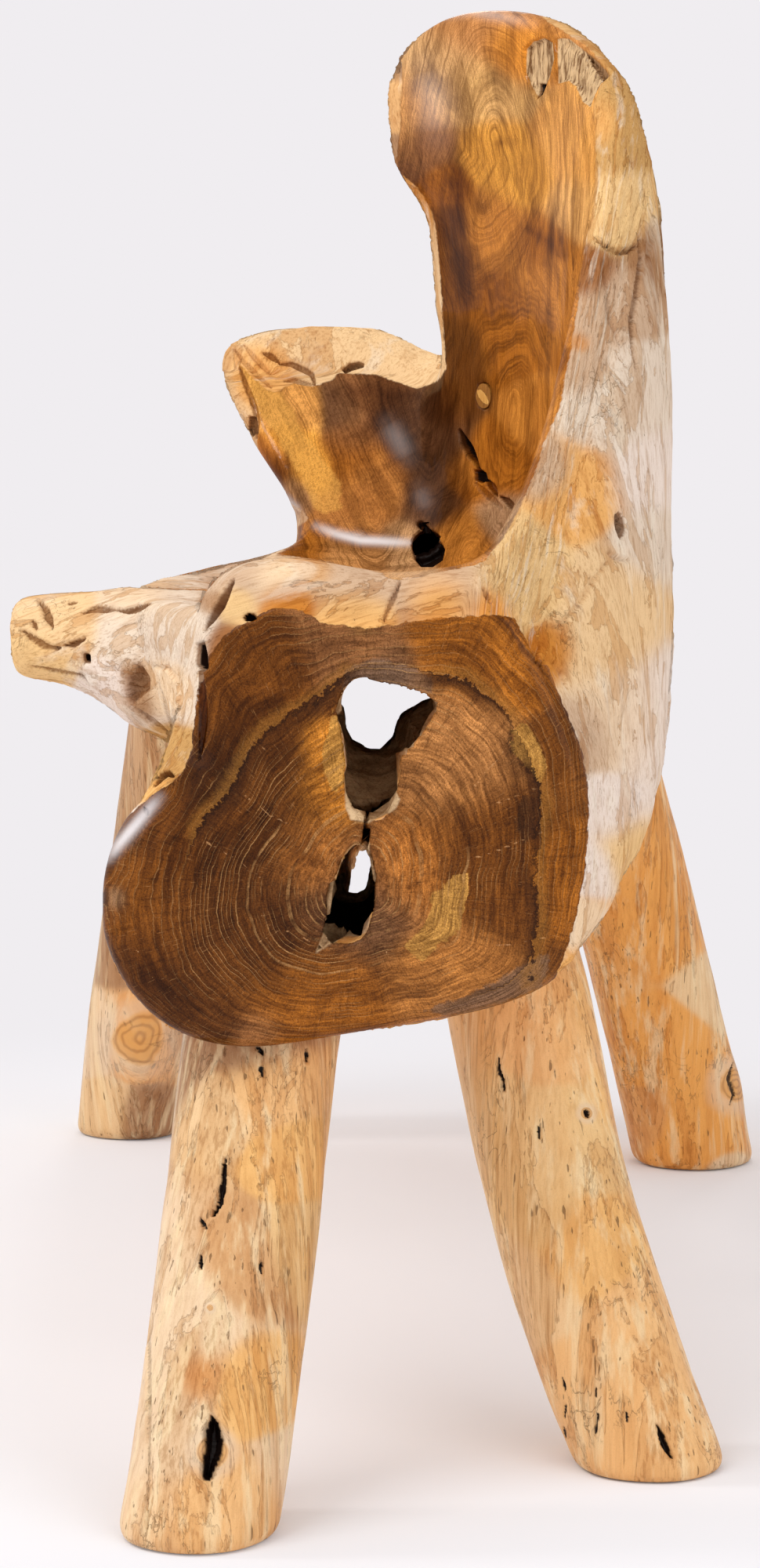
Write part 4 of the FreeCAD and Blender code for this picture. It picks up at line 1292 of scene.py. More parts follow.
@dataclass(frozen=True)
class RootFinish:
    """Varnished teak root: sawn end, figured polished wood and natural skin."""

    gloss: float = 0.30

    def build(self) -> bpy.types.Material:
        """Mix the three woods by the piece's fields.

        Returns:
            The material.
        """
        work = Finish("root_wood")
        place = work.place()
        end, end_height = self.end_grain(work, place)
        inner, inner_height = self.figured(work, place)
        skin, skin_height = self.natural(work, place)
        edge = work.noise(place, 170.0, 5.0, 0.62)
        ragged = (edge - 0.5) * 11.0
        sawn = (work.field("end") + ragged).step(-0.8, 0.8)
        fine = (edge - 0.5) * 7.0
        polished = (work.field("polish") + fine).step(-1.2, 1.2)
        colour = skin.over(polished, inner)
        colour = colour.over(sawn, end)
        rot, rot_height = self.rotten(work, place)
        hollow = (work.field("hollow") + edge * 0.2).step(0.14, 0.34)
        colour = colour.over(hollow, rot)
        # Painted shade inside cuts, pits and holes: brown at middling depth, black deepest.
        crumbs = work.noise(place, 420.0, 3.0, 0.6)
        dark = work.field("dark") + crumbs * 0.30
        brown = dark.step(0.24, 0.62) * 0.88
        colour = colour.shade(brown, (0.30, 0.19, 0.12))
        dark = dark.step(0.74, 1.02)
        colour = colour.over(dark, Wood.SOOT.linear)
        height = self.blend(work, polished, skin_height, inner_height)
        height = self.blend(work, sawn, height, end_height)
        height = self.blend(work, hollow, height, rot_height)
        normal = work.bump(height, 0.8, 0.0014)
        shine = work.math("MAXIMUM", polished, sawn)
        shine = work.math("SUBTRACT", shine, hollow, clamp=True)
        rough = work.value(
            "ShaderNodeMapRange", {"Value": shine, "To Min": 0.50, "To Max": self.gloss})
        rough = work.math("ADD", rough, dark * 0.3, clamp=True)
        # Painted highlight: pale streaks laid over the colour, with a thicker coat under them.
        painted_highlight = work.field("painted_highlight")
        colour = colour.over(painted_highlight * shine, (0.90, 0.84, 0.84))
        coat = work.math("MAXIMUM", sawn * 0.22, polished * 0.10)
        coat = work.math("ADD", coat, painted_highlight * 0.40, clamp=True)
        return work.surface({
            "Base Color": colour, "Roughness": rough, "Normal": normal,
            "Coat Weight": coat, "Coat Roughness": 0.12, "IOR": 1.01})

    @staticmethod
    def blend(work: Finish, share: Feed, first: Feed, second: Feed) -> Feed:
        """Two numbers mixed by a share."""
        return work.value("ShaderNodeMix", {0: share, 2: first, 3: second})

    @staticmethod
    def saw(work: Finish, size: Feed, per_unit: float) -> Feed:
        """Rising share from one ring to the next, 0 to 1, then back at once."""
        return work.math("FRACT", size * per_unit)

    def end_grain(self, work: Finish, place: Feed) -> tuple[Feed, Feed]:
        """Rings, rays, pores and the jagged stain of the sawn end.

        Args:
            work: The finish being built.
            place: Object coordinates.

        Returns:
            Colour and height.
        """
        ring = work.field("ring")
        spoke = work.field("spoke", "Vector")
        parts = work.add("ShaderNodeSeparateXYZ", {0: spoke})
        wobble = work.noise(place, 26.0, 2.0, 0.5) * 22.0
        tremble = work.noise(place, 120.0, 3.0, 0.6) * 4.0
        size = ring + (wobble + tremble)
        round_about = work.join(size, parts.outputs[0], parts.outputs[1])
        inside = ring.step(200.0, 186.0)
        colour = work.field("end_tone", "Color")
        broad = work.noise(work.stretch(round_about, (0.030, 1.3, 1.3)), 1.0, 3.0, 0.6)
        colour = colour.shade(broad.step(0.42, 0.66) * 0.65, (0.40, 0.345, 0.28))
        cloud = work.noise(place, 26.0, 5.0, 0.64)
        colour = colour.shade(cloud.step(0.46, 0.62) * 0.70, (1.45, 1.50, 1.50))
        patch = (work.noise(place, 70.0, 6.0, 0.72) - 0.5) * 34.0
        gold = (work.field("gold") + patch).step(-0.6, 1.2)
        colour = colour.over(gold * 0.80, (0.72, 0.37, 0.085))
        stain = (work.field("stain") + patch).step(-1.0, 2.5)
        colour = colour.over(stain * 0.70, (0.085, 0.032, 0.010))
        mauve = (work.field("mauve") + patch).step(-3.0, 3.0)
        colour = colour.over(mauve * 0.72, (0.24, 0.145, 0.095))
        middle = work.noise(work.stretch(round_about, (0.14, 3.0, 3.0)), 1.0, 3.0, 0.62)
        colour = colour.shade(middle.step(0.44, 0.60) * 0.66, (0.46, 0.405, 0.34))
        fine = work.noise(work.stretch(round_about, (0.42, 6.0, 6.0)), 1.0, 2.0, 0.6)
        colour = colour.shade(fine.step(0.44, 0.58) * 0.58, (0.50, 0.45, 0.38))
        spread = work.noise(work.join(size * 0.045, 0.0, 0.0), 1.0, 2.0, 0.5)
        uneven = size + spread * 34.0
        band = self.saw(work, uneven, 0.155)
        late = band.step(0.05, 0.80) * 0.46
        colour = colour.shade(late, (0.50, 0.45, 0.38))
        broken = work.noise(work.stretch(round_about, (0.016, 1.9, 1.9)), 1.0, 3.0, 0.6)
        line = band.step(0.83, 0.90) * band.step(1.0, 0.94)
        line = line * broken.step(0.40, 0.62)
        line = line * (inside * 0.26 + 0.36)
        colour = colour.over(line, (0.54, 0.28, 0.10))
        flecks = work.noise(work.stretch(spoke, (140.0, 140.0, 11.0)), 1.0, 2.0, 0.6)
        colour = colour.over(flecks.step(0.62, 0.76) * 0.30, (0.60, 0.30, 0.11))
        dark_rays = work.noise(work.stretch(spoke, (60.0, 60.0, 5.0)), 1.0, 3.0, 0.6)
        colour = colour.shade(dark_rays.step(0.52, 0.68) * 0.50, (0.42, 0.365, 0.30))
        shake = work.field("ray") + work.noise(place, 200.0, 3.0) * 3.4
        colour = colour.over(shake.step(3.0, 2.1) * 0.50, (0.70, 0.36, 0.15))
        teeth = work.noise(work.stretch(round_about, (0.05, 14.0, 14.0)), 1.0, 5.0, 0.85)
        jag = work.field("jag") + (teeth - 0.5) * 30.0
        shade = jag.step(-26.0, -0.5) * jag.step(1.6, 0.6)
        some = work.noise(place, 17.0, 2.0).step(0.36, 0.56)
        shade = shade * (some * 0.7 + 0.3)
        colour = colour.over(shade * 0.78, (0.045, 0.014, 0.004))
        crisp = jag.step(-3.4, -1.6) * jag.step(1.6, 0.6)
        colour = colour.over(crisp * 0.60, (0.018, 0.006, 0.002))
        glow = jag.step(1.4, 2.6) * jag.step(22.0, 5.0)
        colour = colour.over(glow * 0.38, (0.40, 0.17, 0.030))
        pores = work.noise(place, 1150.0, 2.0, 0.6)
        colour = colour.shade(pores.step(0.50, 0.62) * 0.65, (0.45, 0.40, 0.34))
        grit = work.noise(place, 1500.0, 2.0, 0.6)
        colour = colour.shade(grit.step(0.54, 0.66) * 0.60, (1.75, 1.80, 1.80))
        crumb = work.noise(place, 120.0, 5.0, 0.80)
        colour = colour.over(crumb.step(0.69, 0.73) * 0.70, (0.72, 0.42, 0.20))
        height = (band + pores) * 0.10
        return colour, height

    def figured(self, work: Finish, place: Feed) -> tuple[Feed, Feed]:
        """Arches and swirls of the polished seat, back and arm.

        Args:
            work: The finish being built.
            place: Object coordinates.

        Returns:
            Colour and height.
        """
        wobble = work.noise(place, 13.0, 2.0, 0.5) * 30.0
        tremble = work.noise(place, 90.0, 3.0, 0.6) * 4.5
        size = work.field("figure") + (wobble + tremble)
        colour = work.field("inner_tone", "Color")
        cloud = work.noise(work.stretch(place, (1.0, 1.0, 0.5)), 21.0, 5.0, 0.64, 0.8)
        colour = colour.shade(cloud.step(0.44, 0.64) * 0.70, (0.42, 0.36, 0.29))
        light = work.noise(work.stretch(place, (1.0, 1.0, 0.6)), 30.0, 5.0, 0.62, 1.0)
        colour = colour.shade(light.step(0.50, 0.66) * 0.55, (1.35, 1.45, 1.45))
        parts = work.add("ShaderNodeSeparateXYZ", {0: place})
        drift = Value(work, parts.outputs[2]) * 6.0
        waves = work.noise(work.join(size * 0.045, drift, 0.0), 1.0, 3.0, 0.6)
        colour = colour.shade(waves.step(0.46, 0.66) * 0.52, (0.45, 0.385, 0.30))
        some = work.noise(place, 13.0, 3.0, 0.5)
        arch = work.noise(work.join(size * 0.17, drift, 4.0), 1.0, 3.0, 0.7)
        arch = arch.step(0.48, 0.64) * some.step(0.36, 0.60)
        colour = colour.shade(arch * 0.72, (0.40, 0.34, 0.27))
        fine = work.noise(work.join(size * 0.60, drift, 8.0), 1.0, 2.0, 0.6)
        colour = colour.shade(fine.step(0.42, 0.60) * 0.48, (0.50, 0.44, 0.37))
        patch = (work.noise(place, 40.0, 4.0, 0.58) - 0.5) * 26.0
        gold = (work.field("gold") + patch).step(-2.0, 6.0)
        colour = colour.over(gold * 0.62, (0.80, 0.40, 0.085))
        stain = (work.field("stain") + patch).step(-6.0, 12.0)
        colour = colour.shade(stain * 0.74, (0.40, 0.32, 0.27))
        fibre = work.noise(work.stretch(place, (1.0, 1.0, 0.09)), 480.0, 4.0, 0.65)
        colour = colour.shade(fibre.step(0.46, 0.62) * 0.52, (0.52, 0.45, 0.38))
        pores = work.noise(place, 1050.0, 3.0, 0.65)
        colour = colour.shade(pores.step(0.50, 0.64) * 0.50, (1.45, 1.52, 1.52))
        grit = work.noise(place, 1400.0, 2.0, 0.6)
        colour = colour.shade(grit.step(0.52, 0.66) * 0.55, (0.50, 0.42, 0.36))
        torn = work.field("rough")
        tufts = work.noise(work.stretch(place, (1.0, 1.0, 0.14)), 260.0, 5.0, 0.72)
        pale = work.mix(tufts.step(0.36, 0.56), (0.17, 0.075, 0.025), (0.74, 0.50, 0.27))
        colour = colour.over(torn.step(0.30, 0.5), pale)
        height = fibre * 0.10
        height = height + tufts * torn * 1.8
        return colour, height

    def natural(self, work: Finish, place: Feed) -> tuple[Feed, Feed]:
        """Pale natural skin: flakes, streaks along the grain, contour lines and pits.

        Args:
            work: The finish being built.
            place: Object coordinates.

        Returns:
            Colour and height.
        """
        lay = work.field("lay", "Vector")
        colour = work.field("skin_tone", "Color")
        streak = work.noise(work.stretch(lay, (1.0, 1.0, 0.12)), 95.0, 6.0, 0.66, 0.8)
        colour = colour.shade(streak.step(0.48, 0.72) * 0.52, (0.58, 0.40, 0.25))
        flake = work.noise(work.stretch(lay, (1.0, 1.0, 0.34)), 30.0, 7.0, 0.62, 1.0)
        peeled = flake.step(0.545, 0.560)
        colour = colour.shade(peeled * 0.55, (0.74, 0.56, 0.38))
        # Painted shadow: a thin dark line along the edge of each peeled flake.
        rim = abs(flake - 0.552).step(0.012, 0.003)
        colour = colour.shade(rim * 0.24, (0.46, 0.30, 0.16))
        pale = work.noise(work.stretch(lay, (1.0, 1.0, 0.25)), 48.0, 5.0, 0.6, 0.6)
        colour = colour.over(pale.step(0.52, 0.70) * 0.42, (0.93, 0.83, 0.68))
        contour = work.noise(place, 34.0, 4.0, 0.55, 1.6)
        rare = work.noise(place, 15.0, 2.0).step(0.54, 0.66)
        thread = abs(contour - 0.5).step(0.010, 0.002)
        thread = thread * rare
        colour = colour.over(thread * 0.45, (0.24, 0.13, 0.05))
        grain = work.noise(work.stretch(lay, (1.0, 1.0, 0.07)), 640.0, 4.0, 0.66)
        colour = colour.shade(grain.step(0.47, 0.68) * 0.50, (0.55, 0.40, 0.27))
        grit = work.noise(place, 1500.0, 3.0, 0.65)
        colour = colour.shade(grit.step(0.54, 0.70) * 0.36, (0.58, 0.46, 0.34))
        pits = work.noise(place, 240.0, 5.0, 0.72)
        pitted = pits.step(0.665, 0.72)
        colour = colour.over(pitted * 0.62, (0.22, 0.13, 0.06))
        height = streak * 0.9 + grain * 0.30
        height = height - pitted * 0.6
        height = height - peeled * 0.35
        height = height - thread * 0.5
        return colour, height

    def rotten(self, work: Finish, place: Feed) -> tuple[Feed, Feed]:
        """Weathered grey-brown wall of the hollow heart, with painted shade deeper in.

        Args:
            work: The finish being built.
            place: Object coordinates.

        Returns:
            Colour and height.
        """
        cloud = work.noise(place, 60.0, 5.0, 0.65)
        colour = work.mix(cloud.step(0.36, 0.66), (0.80, 0.55, 0.31), (0.36, 0.20, 0.09))
        grit = work.noise(place, 700.0, 4.0, 0.7)
        colour = colour.shade(grit.step(0.46, 0.68) * 0.6, (0.40, 0.30, 0.22))
        # Painted shade: darker deeper into the hollow heart.
        deep = work.field("hollow").step(0.55, 1.0)
        colour = colour.shade(deep * 0.4, (0.40, 0.33, 0.27))
        return colour, grit * 0.8


# The logs


@dataclass(frozen=True)
class Knot:
    """A knot on a log: its middle and radius in pixels, and a core tone that is not used."""

    column: float
    row: float
    radius_px: float
    core: Wood
    bulge_mm: float = 2.0


@dataclass
class Log:
    """One debarked log: its solid's name, tones, knots and cuts."""

    node: str
    dabs: tuple[tuple[float, float, float, Wood], ...]
    knots: tuple[Knot, ...] = ()
    cuts: tuple[Groove | Pit, ...] = ()
    seed: int = 1
    voxel: float = 1.42 * MM
    settle: int = 3
    pixel: float = 0.45 * MM

    def build(self, finish: bpy.types.Material) -> bpy.types.Object:
        """Carve and dress the log.

        Args:
            finish: The logs' material.

        Returns:
            The finished log.
        """
        carving = Carving(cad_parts[self.node], self.voxel, self.settle)
        self.weather(carving)
        carving.cut(self.cuts)
        carving.refresh()
        carving.fields["tone"] = painted(carving.x, carving.y, self.dabs)
        self.lay_grain(carving)
        keep = np.ones(len(carving.quads), bool)
        return carving.piece(self.node.replace("leg", "log"), keep, finish)

    def weather(self, carving: Carving) -> None:
        """Give the log flutes along the grain and shallow drawknife hollows.

        Args:
            carving: The piece being carved.
        """
        points = carving.points
        sides = 1.0 - smooth(np.abs(carving.normals[:, 2]), 0.5, 0.8)
        flutes = Lumps(self.seed).at(points * np.array([1.0, 1.0, 0.13]), 0.016, 2) * 0.55
        hollows = Lumps(self.seed + 40).at(points * np.array([1.0, 1.0, 0.5]), 0.030, 1) * 0.6
        carving.push((flutes + hollows - 0.35) * MM * sides)
        for knot in self.knots:
            gap = np.hypot(carving.x - knot.column, carving.y - knot.row) / knot.radius_px
            swell = np.exp(-0.5 * (gap / 1.3) ** 2) * carving.seen
            carving.push(swell * knot.bulge_mm * MM)
        carving.refresh()

    def lay_grain(self, carving: Carving) -> None:
        """Lay the grain along the log, parted round its knots like a stream round a stone.

        Across the log a place moves by radius squared over distance squared of its
        offset from the knot.

        Args:
            carving: The piece being carved.
        """
        lay = carving.points.copy()
        ring = np.full(len(lay), 9.0)
        for knot in self.knots:
            across = carving.x - knot.column
            down = (carving.y - knot.row) * 0.6
            gap = np.hypot(across, down)
            size = knot.radius_px
            share = size * size / np.maximum(gap * gap, size * size)
            lay[:, 1] -= across * share * self.pixel * carving.seen
            even = np.hypot(across, carving.y - knot.row) / size
            ring = np.where(carving.seen > 0.5, np.minimum(ring, even), ring)
        carving.fields["lay"] = lay
        carving.fields["knot"] = ring


@dataclass(frozen=True)
class LogFinish:
    """Pale debarked log wood under satin varnish."""

    rough: float = 0.42

    def build(self) -> bpy.types.Material:
        """Grain streaks, bast fibres, dashes and knots.

        Returns:
            The material.
        """
        work = Finish("log_wood")
        place = work.place()
        lay = work.field("lay", "Vector")
        colour = work.field("tone", "Color")
        bast = work.noise(work.stretch(lay, (1.0, 1.0, 0.14)), 36.0, 7.0, 0.64, 0.6)
        peeled = bast.step(0.500, 0.516)
        colour = colour.shade(peeled * 0.42, (0.76, 0.62, 0.46))
        # Painted shadow: a thin dark line along the edge of each peeled layer.
        rim = abs(bast - 0.507).step(0.013, 0.003)
        colour = colour.shade(rim * 0.16, (0.46, 0.29, 0.14))
        broad = work.noise(work.stretch(lay, (1.0, 1.0, 0.04)), 85.0, 4.0, 0.62, 0.4)
        colour = colour.shade(broad.step(0.45, 0.66) * 0.38, (0.68, 0.52, 0.36))
        light = work.noise(work.stretch(lay, (1.0, 1.0, 0.07)), 105.0, 4.0, 0.6)
        colour = colour.over(light.step(0.48, 0.66) * 0.50, (0.98, 0.80, 0.50))
        warm = work.noise(work.stretch(lay, (1.0, 1.0, 0.12)), 40.0, 5.0, 0.6)
        colour = colour.shade(warm.step(0.50, 0.66) * 0.28, (0.92, 0.72, 0.44))
        fine = work.noise(work.stretch(lay, (1.0, 1.0, 0.030)), 430.0, 4.0, 0.68)
        grain = peeled * 0.35 + 0.20
        colour = colour.shade(fine.step(0.46, 0.64) * grain, (0.56, 0.42, 0.28))
        dashes = work.noise(work.stretch(lay, (1.0, 1.0, 0.09)), 430.0, 2.0, 0.5)
        dashed = dashes.step(0.67, 0.73)
        colour = colour.over(dashed * 0.75, (0.20, 0.10, 0.035))
        worn = work.noise(work.stretch(lay, (1.0, 1.0, 0.45)), 62.0, 4.0, 0.58, 1.4)
        rare = work.noise(place, 18.0, 2.0).step(0.53, 0.64)
        wormed = abs(worn - 0.52).step(0.013, 0.003)
        wormed = wormed * rare
        colour = colour.over(wormed * 0.55, (0.28, 0.15, 0.06))
        grit = work.noise(place, 1300.0, 3.0, 0.65)
        colour = colour.shade(grit.step(0.52, 0.68) * 0.22, (0.62, 0.50, 0.38))
        ring = work.field("knot")
        swirl = ring + work.noise(place, 26.0, 3.0, 0.55) * 1.1
        turns = abs(work.math("FRACT", swirl * 3.3) - 0.5)
        core = swirl.step(1.75, 1.50)
        halo = swirl.step(3.0, 2.0) * swirl.step(1.45, 1.8)
        colour = colour.over(halo * 0.5, (0.80, 0.60, 0.42))
        heart = work.mix(turns.step(0.16, 0.48), (0.74, 0.38, 0.125), (0.46, 0.205, 0.070))
        colour = colour.over(core * 0.72, heart)
        # Painted shade inside the log's cuts and knot hole.
        dark = (work.field("dark") + fine * 0.3).step(0.32, 0.85)
        colour = colour.over(dark, Wood.SOOT.linear)
        height = broad * 0.8 + fine * 0.35
        height = height - dashed * 0.6
        height = height - wormed * 0.7
        height = height - peeled * 0.5
        normal = work.bump(height, 0.75, 0.0013)
        rough = work.math("ADD", work.noise(place, 60.0, 3.0) * 0.22, self.rough - 0.11, clamp=True)
        return work.surface({
            "Base Color": colour, "Roughness": rough, "Normal": normal,
            "Coat Weight": 0.12, "Coat Roughness": 0.25, "IOR": 1.20})


LOGS = (
    Log(
        "leg_front_trunk_end",
        dabs=((205, 1380, 17, Wood.SIENNA), (212, 1700, 33, Wood.VELLUM),
              (265, 1420, 14, Wood.CREAM), (315, 1620, 19, Wood.ALMOND),
              (320, 1760, 17, Wood.REED), (330, 1930, 19, Wood.ASH), (345, 1380, 17, Wood.ASH),
              (375, 1480, 14, Wood.REED), (385, 1600, 17, Wood.PARCHMENT),
              (385, 1900, 19, Wood.VELLUM), (255, 1750, 12, Wood.FAWN),
              (330, 1330, 17, Wood.SIENNA)),
        knots=(Knot(270, 1852, 17, Wood.UMBER, 2.5), Knot(268, 1668, 4, Wood.CHESTNUT, 1.2)),
        cuts=(Pit(((270, 1805), (279, 1815), (285, 1836), (284, 1858), (276, 1874), (268, 1890),
                   (259, 1888), (256, 1870), (260, 1848), (261, 1825)), 12.0, 1.0, 4.0),
              Groove(((286, 1478), (284, 1510), (280, 1536), (271, 1550)), 4.5, 4.0, 0.8),
              Groove(((255, 1554), (259, 1562), (263, 1567)), 3.0, 2.5, 0.8),
              Groove(((255, 1600), (256, 1619)), 3.0, 3.0, 0.9),
              Groove(((334, 1608), (334, 1626)), 2.2, 2.5, 0.9),
              Groove(((329, 1337), (337, 1344)), 3.5, 3.0, 0.9),
              Groove(((333, 1358), (334, 1372)), 2.6, 2.5, 0.9),
              Groove(((392, 1340), (392, 1355)), 3.0, 3.0, 0.8),
              Groove(((192, 1600), (189, 1700), (190, 1800), (187, 1950)), 3.0, 1.6, 0.35),
              Groove(((283, 1745), (276, 1770), (270, 1800)), 3.5, 1.2, 0.30),
              Groove(((266, 1892), (264, 1920), (260, 1948)), 3.5, 1.2, 0.30)),
        seed=21),
    Log(
        "leg_back_trunk_end",
        dabs=((650, 1480, 21, Wood.PARCHMENT), (655, 1650, 23, Wood.CREAM),
              (720, 1320, 16, Wood.ASH), (730, 1450, 17, Wood.PARCHMENT),
              (735, 1600, 17, Wood.REED), (740, 1780, 21, Wood.ASH), (790, 1400, 13, Wood.REED),
              (810, 1700, 17, Wood.ASH), (690, 1560, 13, Wood.PARCHMENT),
              (760, 1300, 13, Wood.REED)),
        knots=(Knot(749, 1420, 7, Wood.UMBER, 1.0),),
        cuts=(Groove(((635, 1348), (637, 1368), (641, 1376), (643, 1392)), 2.4, 2.5, 0.9),
              Groove(((686, 1433), (689, 1454)), 2.2, 2.5, 0.8),
              Pit(((745, 1417), (749, 1414), (754, 1418), (753, 1425), (747, 1425)), 4.0, 1.0, 2.0),
              Groove(((840, 1818), (849, 1844), (858, 1860)), 4.5, 4.0, 0.9),
              Groove(((718, 1758), (721, 1775)), 1.8, 1.4, 0.8),
              Groove(((722, 1790), (720, 1808)), 1.8, 1.4, 0.8),
              Groove(((719, 1820), (722, 1834)), 1.8, 1.4, 0.8),
              Groove(((760, 1768), (761, 1785)), 1.8, 1.4, 0.8),
              Groove(((763, 1800), (760, 1830)), 1.8, 1.4, 0.7),
              Groove(((800, 1800), (802, 1820)), 1.8, 1.4, 0.8)),
        seed=22),
    Log(
        "leg_front_arm_end",
        dabs=((150, 1200, 11, Wood.SIENNA), (110, 1320, 11, Wood.VELLUM),
              (178, 1325, 11, Wood.BISCUIT), (235, 1320, 7, Wood.ALMOND),
              (120, 1450, 15, Wood.CREAM), (190, 1450, 13, Wood.SIENNA),
              (190, 1600, 13, Wood.PEARL)),
        knots=(Knot(178, 1325, 30, Wood.MAPLE, 3.0),),
        seed=23, pixel=0.52 * MM),
    Log(
        "leg_back_arm_end",
        dabs=((870, 1180, 15, Wood.BISCUIT), (915, 1250, 13, Wood.CREAM),
              (850, 1330, 13, Wood.BISCUIT), (825, 1430, 9, Wood.FAWN),
              (880, 1450, 13, Wood.BISCUIT), (920, 1380, 8, Wood.BISCUIT),
              (865, 1700, 15, Wood.REED), (925, 1500, 7, Wood.VELLUM)),
        knots=(Knot(940, 1382, 20, Wood.COPPER, 2.5),),
        cuts=(Groove(((936, 1356), (930, 1376), (937, 1396), (932, 1410)), 3.0, 2.0, 0.6),),
        seed=24, pixel=0.52 * MM))


# Plugs, screws and the patch


@dataclass(frozen=True)
class PlugFinish:
    """Turned cross-grain plug over a screw head."""

    def build(self) -> bpy.types.Material:
        """Short grain lines and pores over a warm tan.

        Returns:
            The material.
        """
        work = Finish("plug_wood")
        place = work.place()
        grain = work.noise(work.stretch(place, (0.1, 1.0, 1.0)), 900.0, 3.0, 0.6)
        colour = work.mix(grain.step(0.35, 0.7), Wood.STRAW.linear, Wood.HONEY.linear)
        pores = work.noise(place, 2200.0, 2.0, 0.5)
        colour = colour.over(pores.step(0.6, 0.72) * 0.6, Wood.CHESTNUT.linear)
        return work.surface({
            "Base Color": colour, "Roughness": 0.42,
            "Normal": work.bump(grain, 0.4, 0.0004), "Coat Weight": 0.15})


@dataclass(frozen=True)
class PatchFinish:
    """Varnished oval of wood let into the back, with a paler bean-shaped filling.

    Attributes:
        bean_place: Middle of the filling.
        bean_size: Half its width and half its height.
        bean_tilt: Its turn about X.
    """

    bean_place: tuple[float, float, float] = (0.0, 0.0511, 0.5944)
    bean_size: tuple[float, float] = (0.0023, 0.0058)
    bean_tilt: float = -0.55

    def build(self) -> bpy.types.Material:
        """Wood like the back's, with the filling and its thin dark outline.

        Returns:
            The material.
        """
        work = Finish("patch_wood")
        place = work.place()
        grain = work.noise(work.stretch(place, (1.0, 1.0, 0.3)), 300.0, 4.0, 0.6)
        colour = work.mix(grain.step(0.35, 0.7), (0.36, 0.150, 0.026), (0.19, 0.070, 0.012))
        ragged = work.noise(place, 260.0, 3.0, 0.6) * 0.5
        spot = work.value(
            "ShaderNodeVectorMath", {0: place, 1: self.bean_place}, operation="SUBTRACT")
        turned = work.add("ShaderNodeMapping", {
            "Vector": spot, "Rotation": (self.bean_tilt, 0.0, 0.0)}).outputs[0]
        shaped = work.stretch(turned, (0.0, 1.0 / self.bean_size[0], 1.0 / self.bean_size[1]))
        far = work.value("ShaderNodeVectorMath", {0: shaped}, "Value", operation="LENGTH")
        far = far + ragged
        colour = colour.over(far.step(1.56, 1.36) * 0.22, Wood.SOOT.linear)
        bean = work.mix(grain.step(0.35, 0.65), (0.82, 0.47, 0.13), (0.60, 0.28, 0.06))
        colour = colour.over(far.step(1.36, 1.22), bean)
        return work.surface({
            "Base Color": colour, "Roughness": 0.34, "Normal": work.bump(grain, 0.4, 0.0005),
            "Coat Weight": 0.3, "Coat Roughness": 0.12, "IOR": 1.12})


@dataclass(frozen=True)
class SteelFinish:
    """Plated steel of the screws."""

    def build(self) -> bpy.types.Material:
        """Turned marks and light tarnish on bright plate.

        Returns:
            The material.
        """
        work = Finish("screw_steel")
        place = work.place()
        marks = work.noise(work.stretch(place, (1.0, 1.0, 12.0)), 500.0, 3.0, 0.6)
        tarnish = work.noise(place, 220.0, 4.0, 0.6)
        colour = work.mix(tarnish.step(0.35, 0.7), (0.62, 0.60, 0.55), (0.36, 0.33, 0.29))
        rough = work.add("ShaderNodeMapRange", {"Value": tarnish, "To Min": 0.22, "To Max": 0.52})
        return work.surface({
            "Base Color": colour, "Metallic": 1.0, "Roughness": rough.outputs[0],
            "Normal": work.bump(marks, 0.25, 0.0002)})


@dataclass
class Fixings:
    """Screws and plugs in the legs' tops, and the patch let into the back."""

    legs: tuple[str, ...] = (
        "leg_front_trunk_end", "leg_back_trunk_end", "leg_front_arm_end", "leg_back_arm_end")

    def build(self) -> list[str]:
        """Give each fixing its finish.

        Returns:
            The names of the nodes that were dressed.
        """
        steel, plug, patch = SteelFinish().build(), PlugFinish().build(), PatchFinish().build()
        worn = {f"{leg}_screw": steel for leg in self.legs}
        worn.update({f"{leg}_plug": plug for leg in self.legs})
        worn["back_patch"] = patch
        for name, finish in worn.items():
            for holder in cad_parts[name].material_slots:
                holder.material = finish
        return list(worn)


# The studio


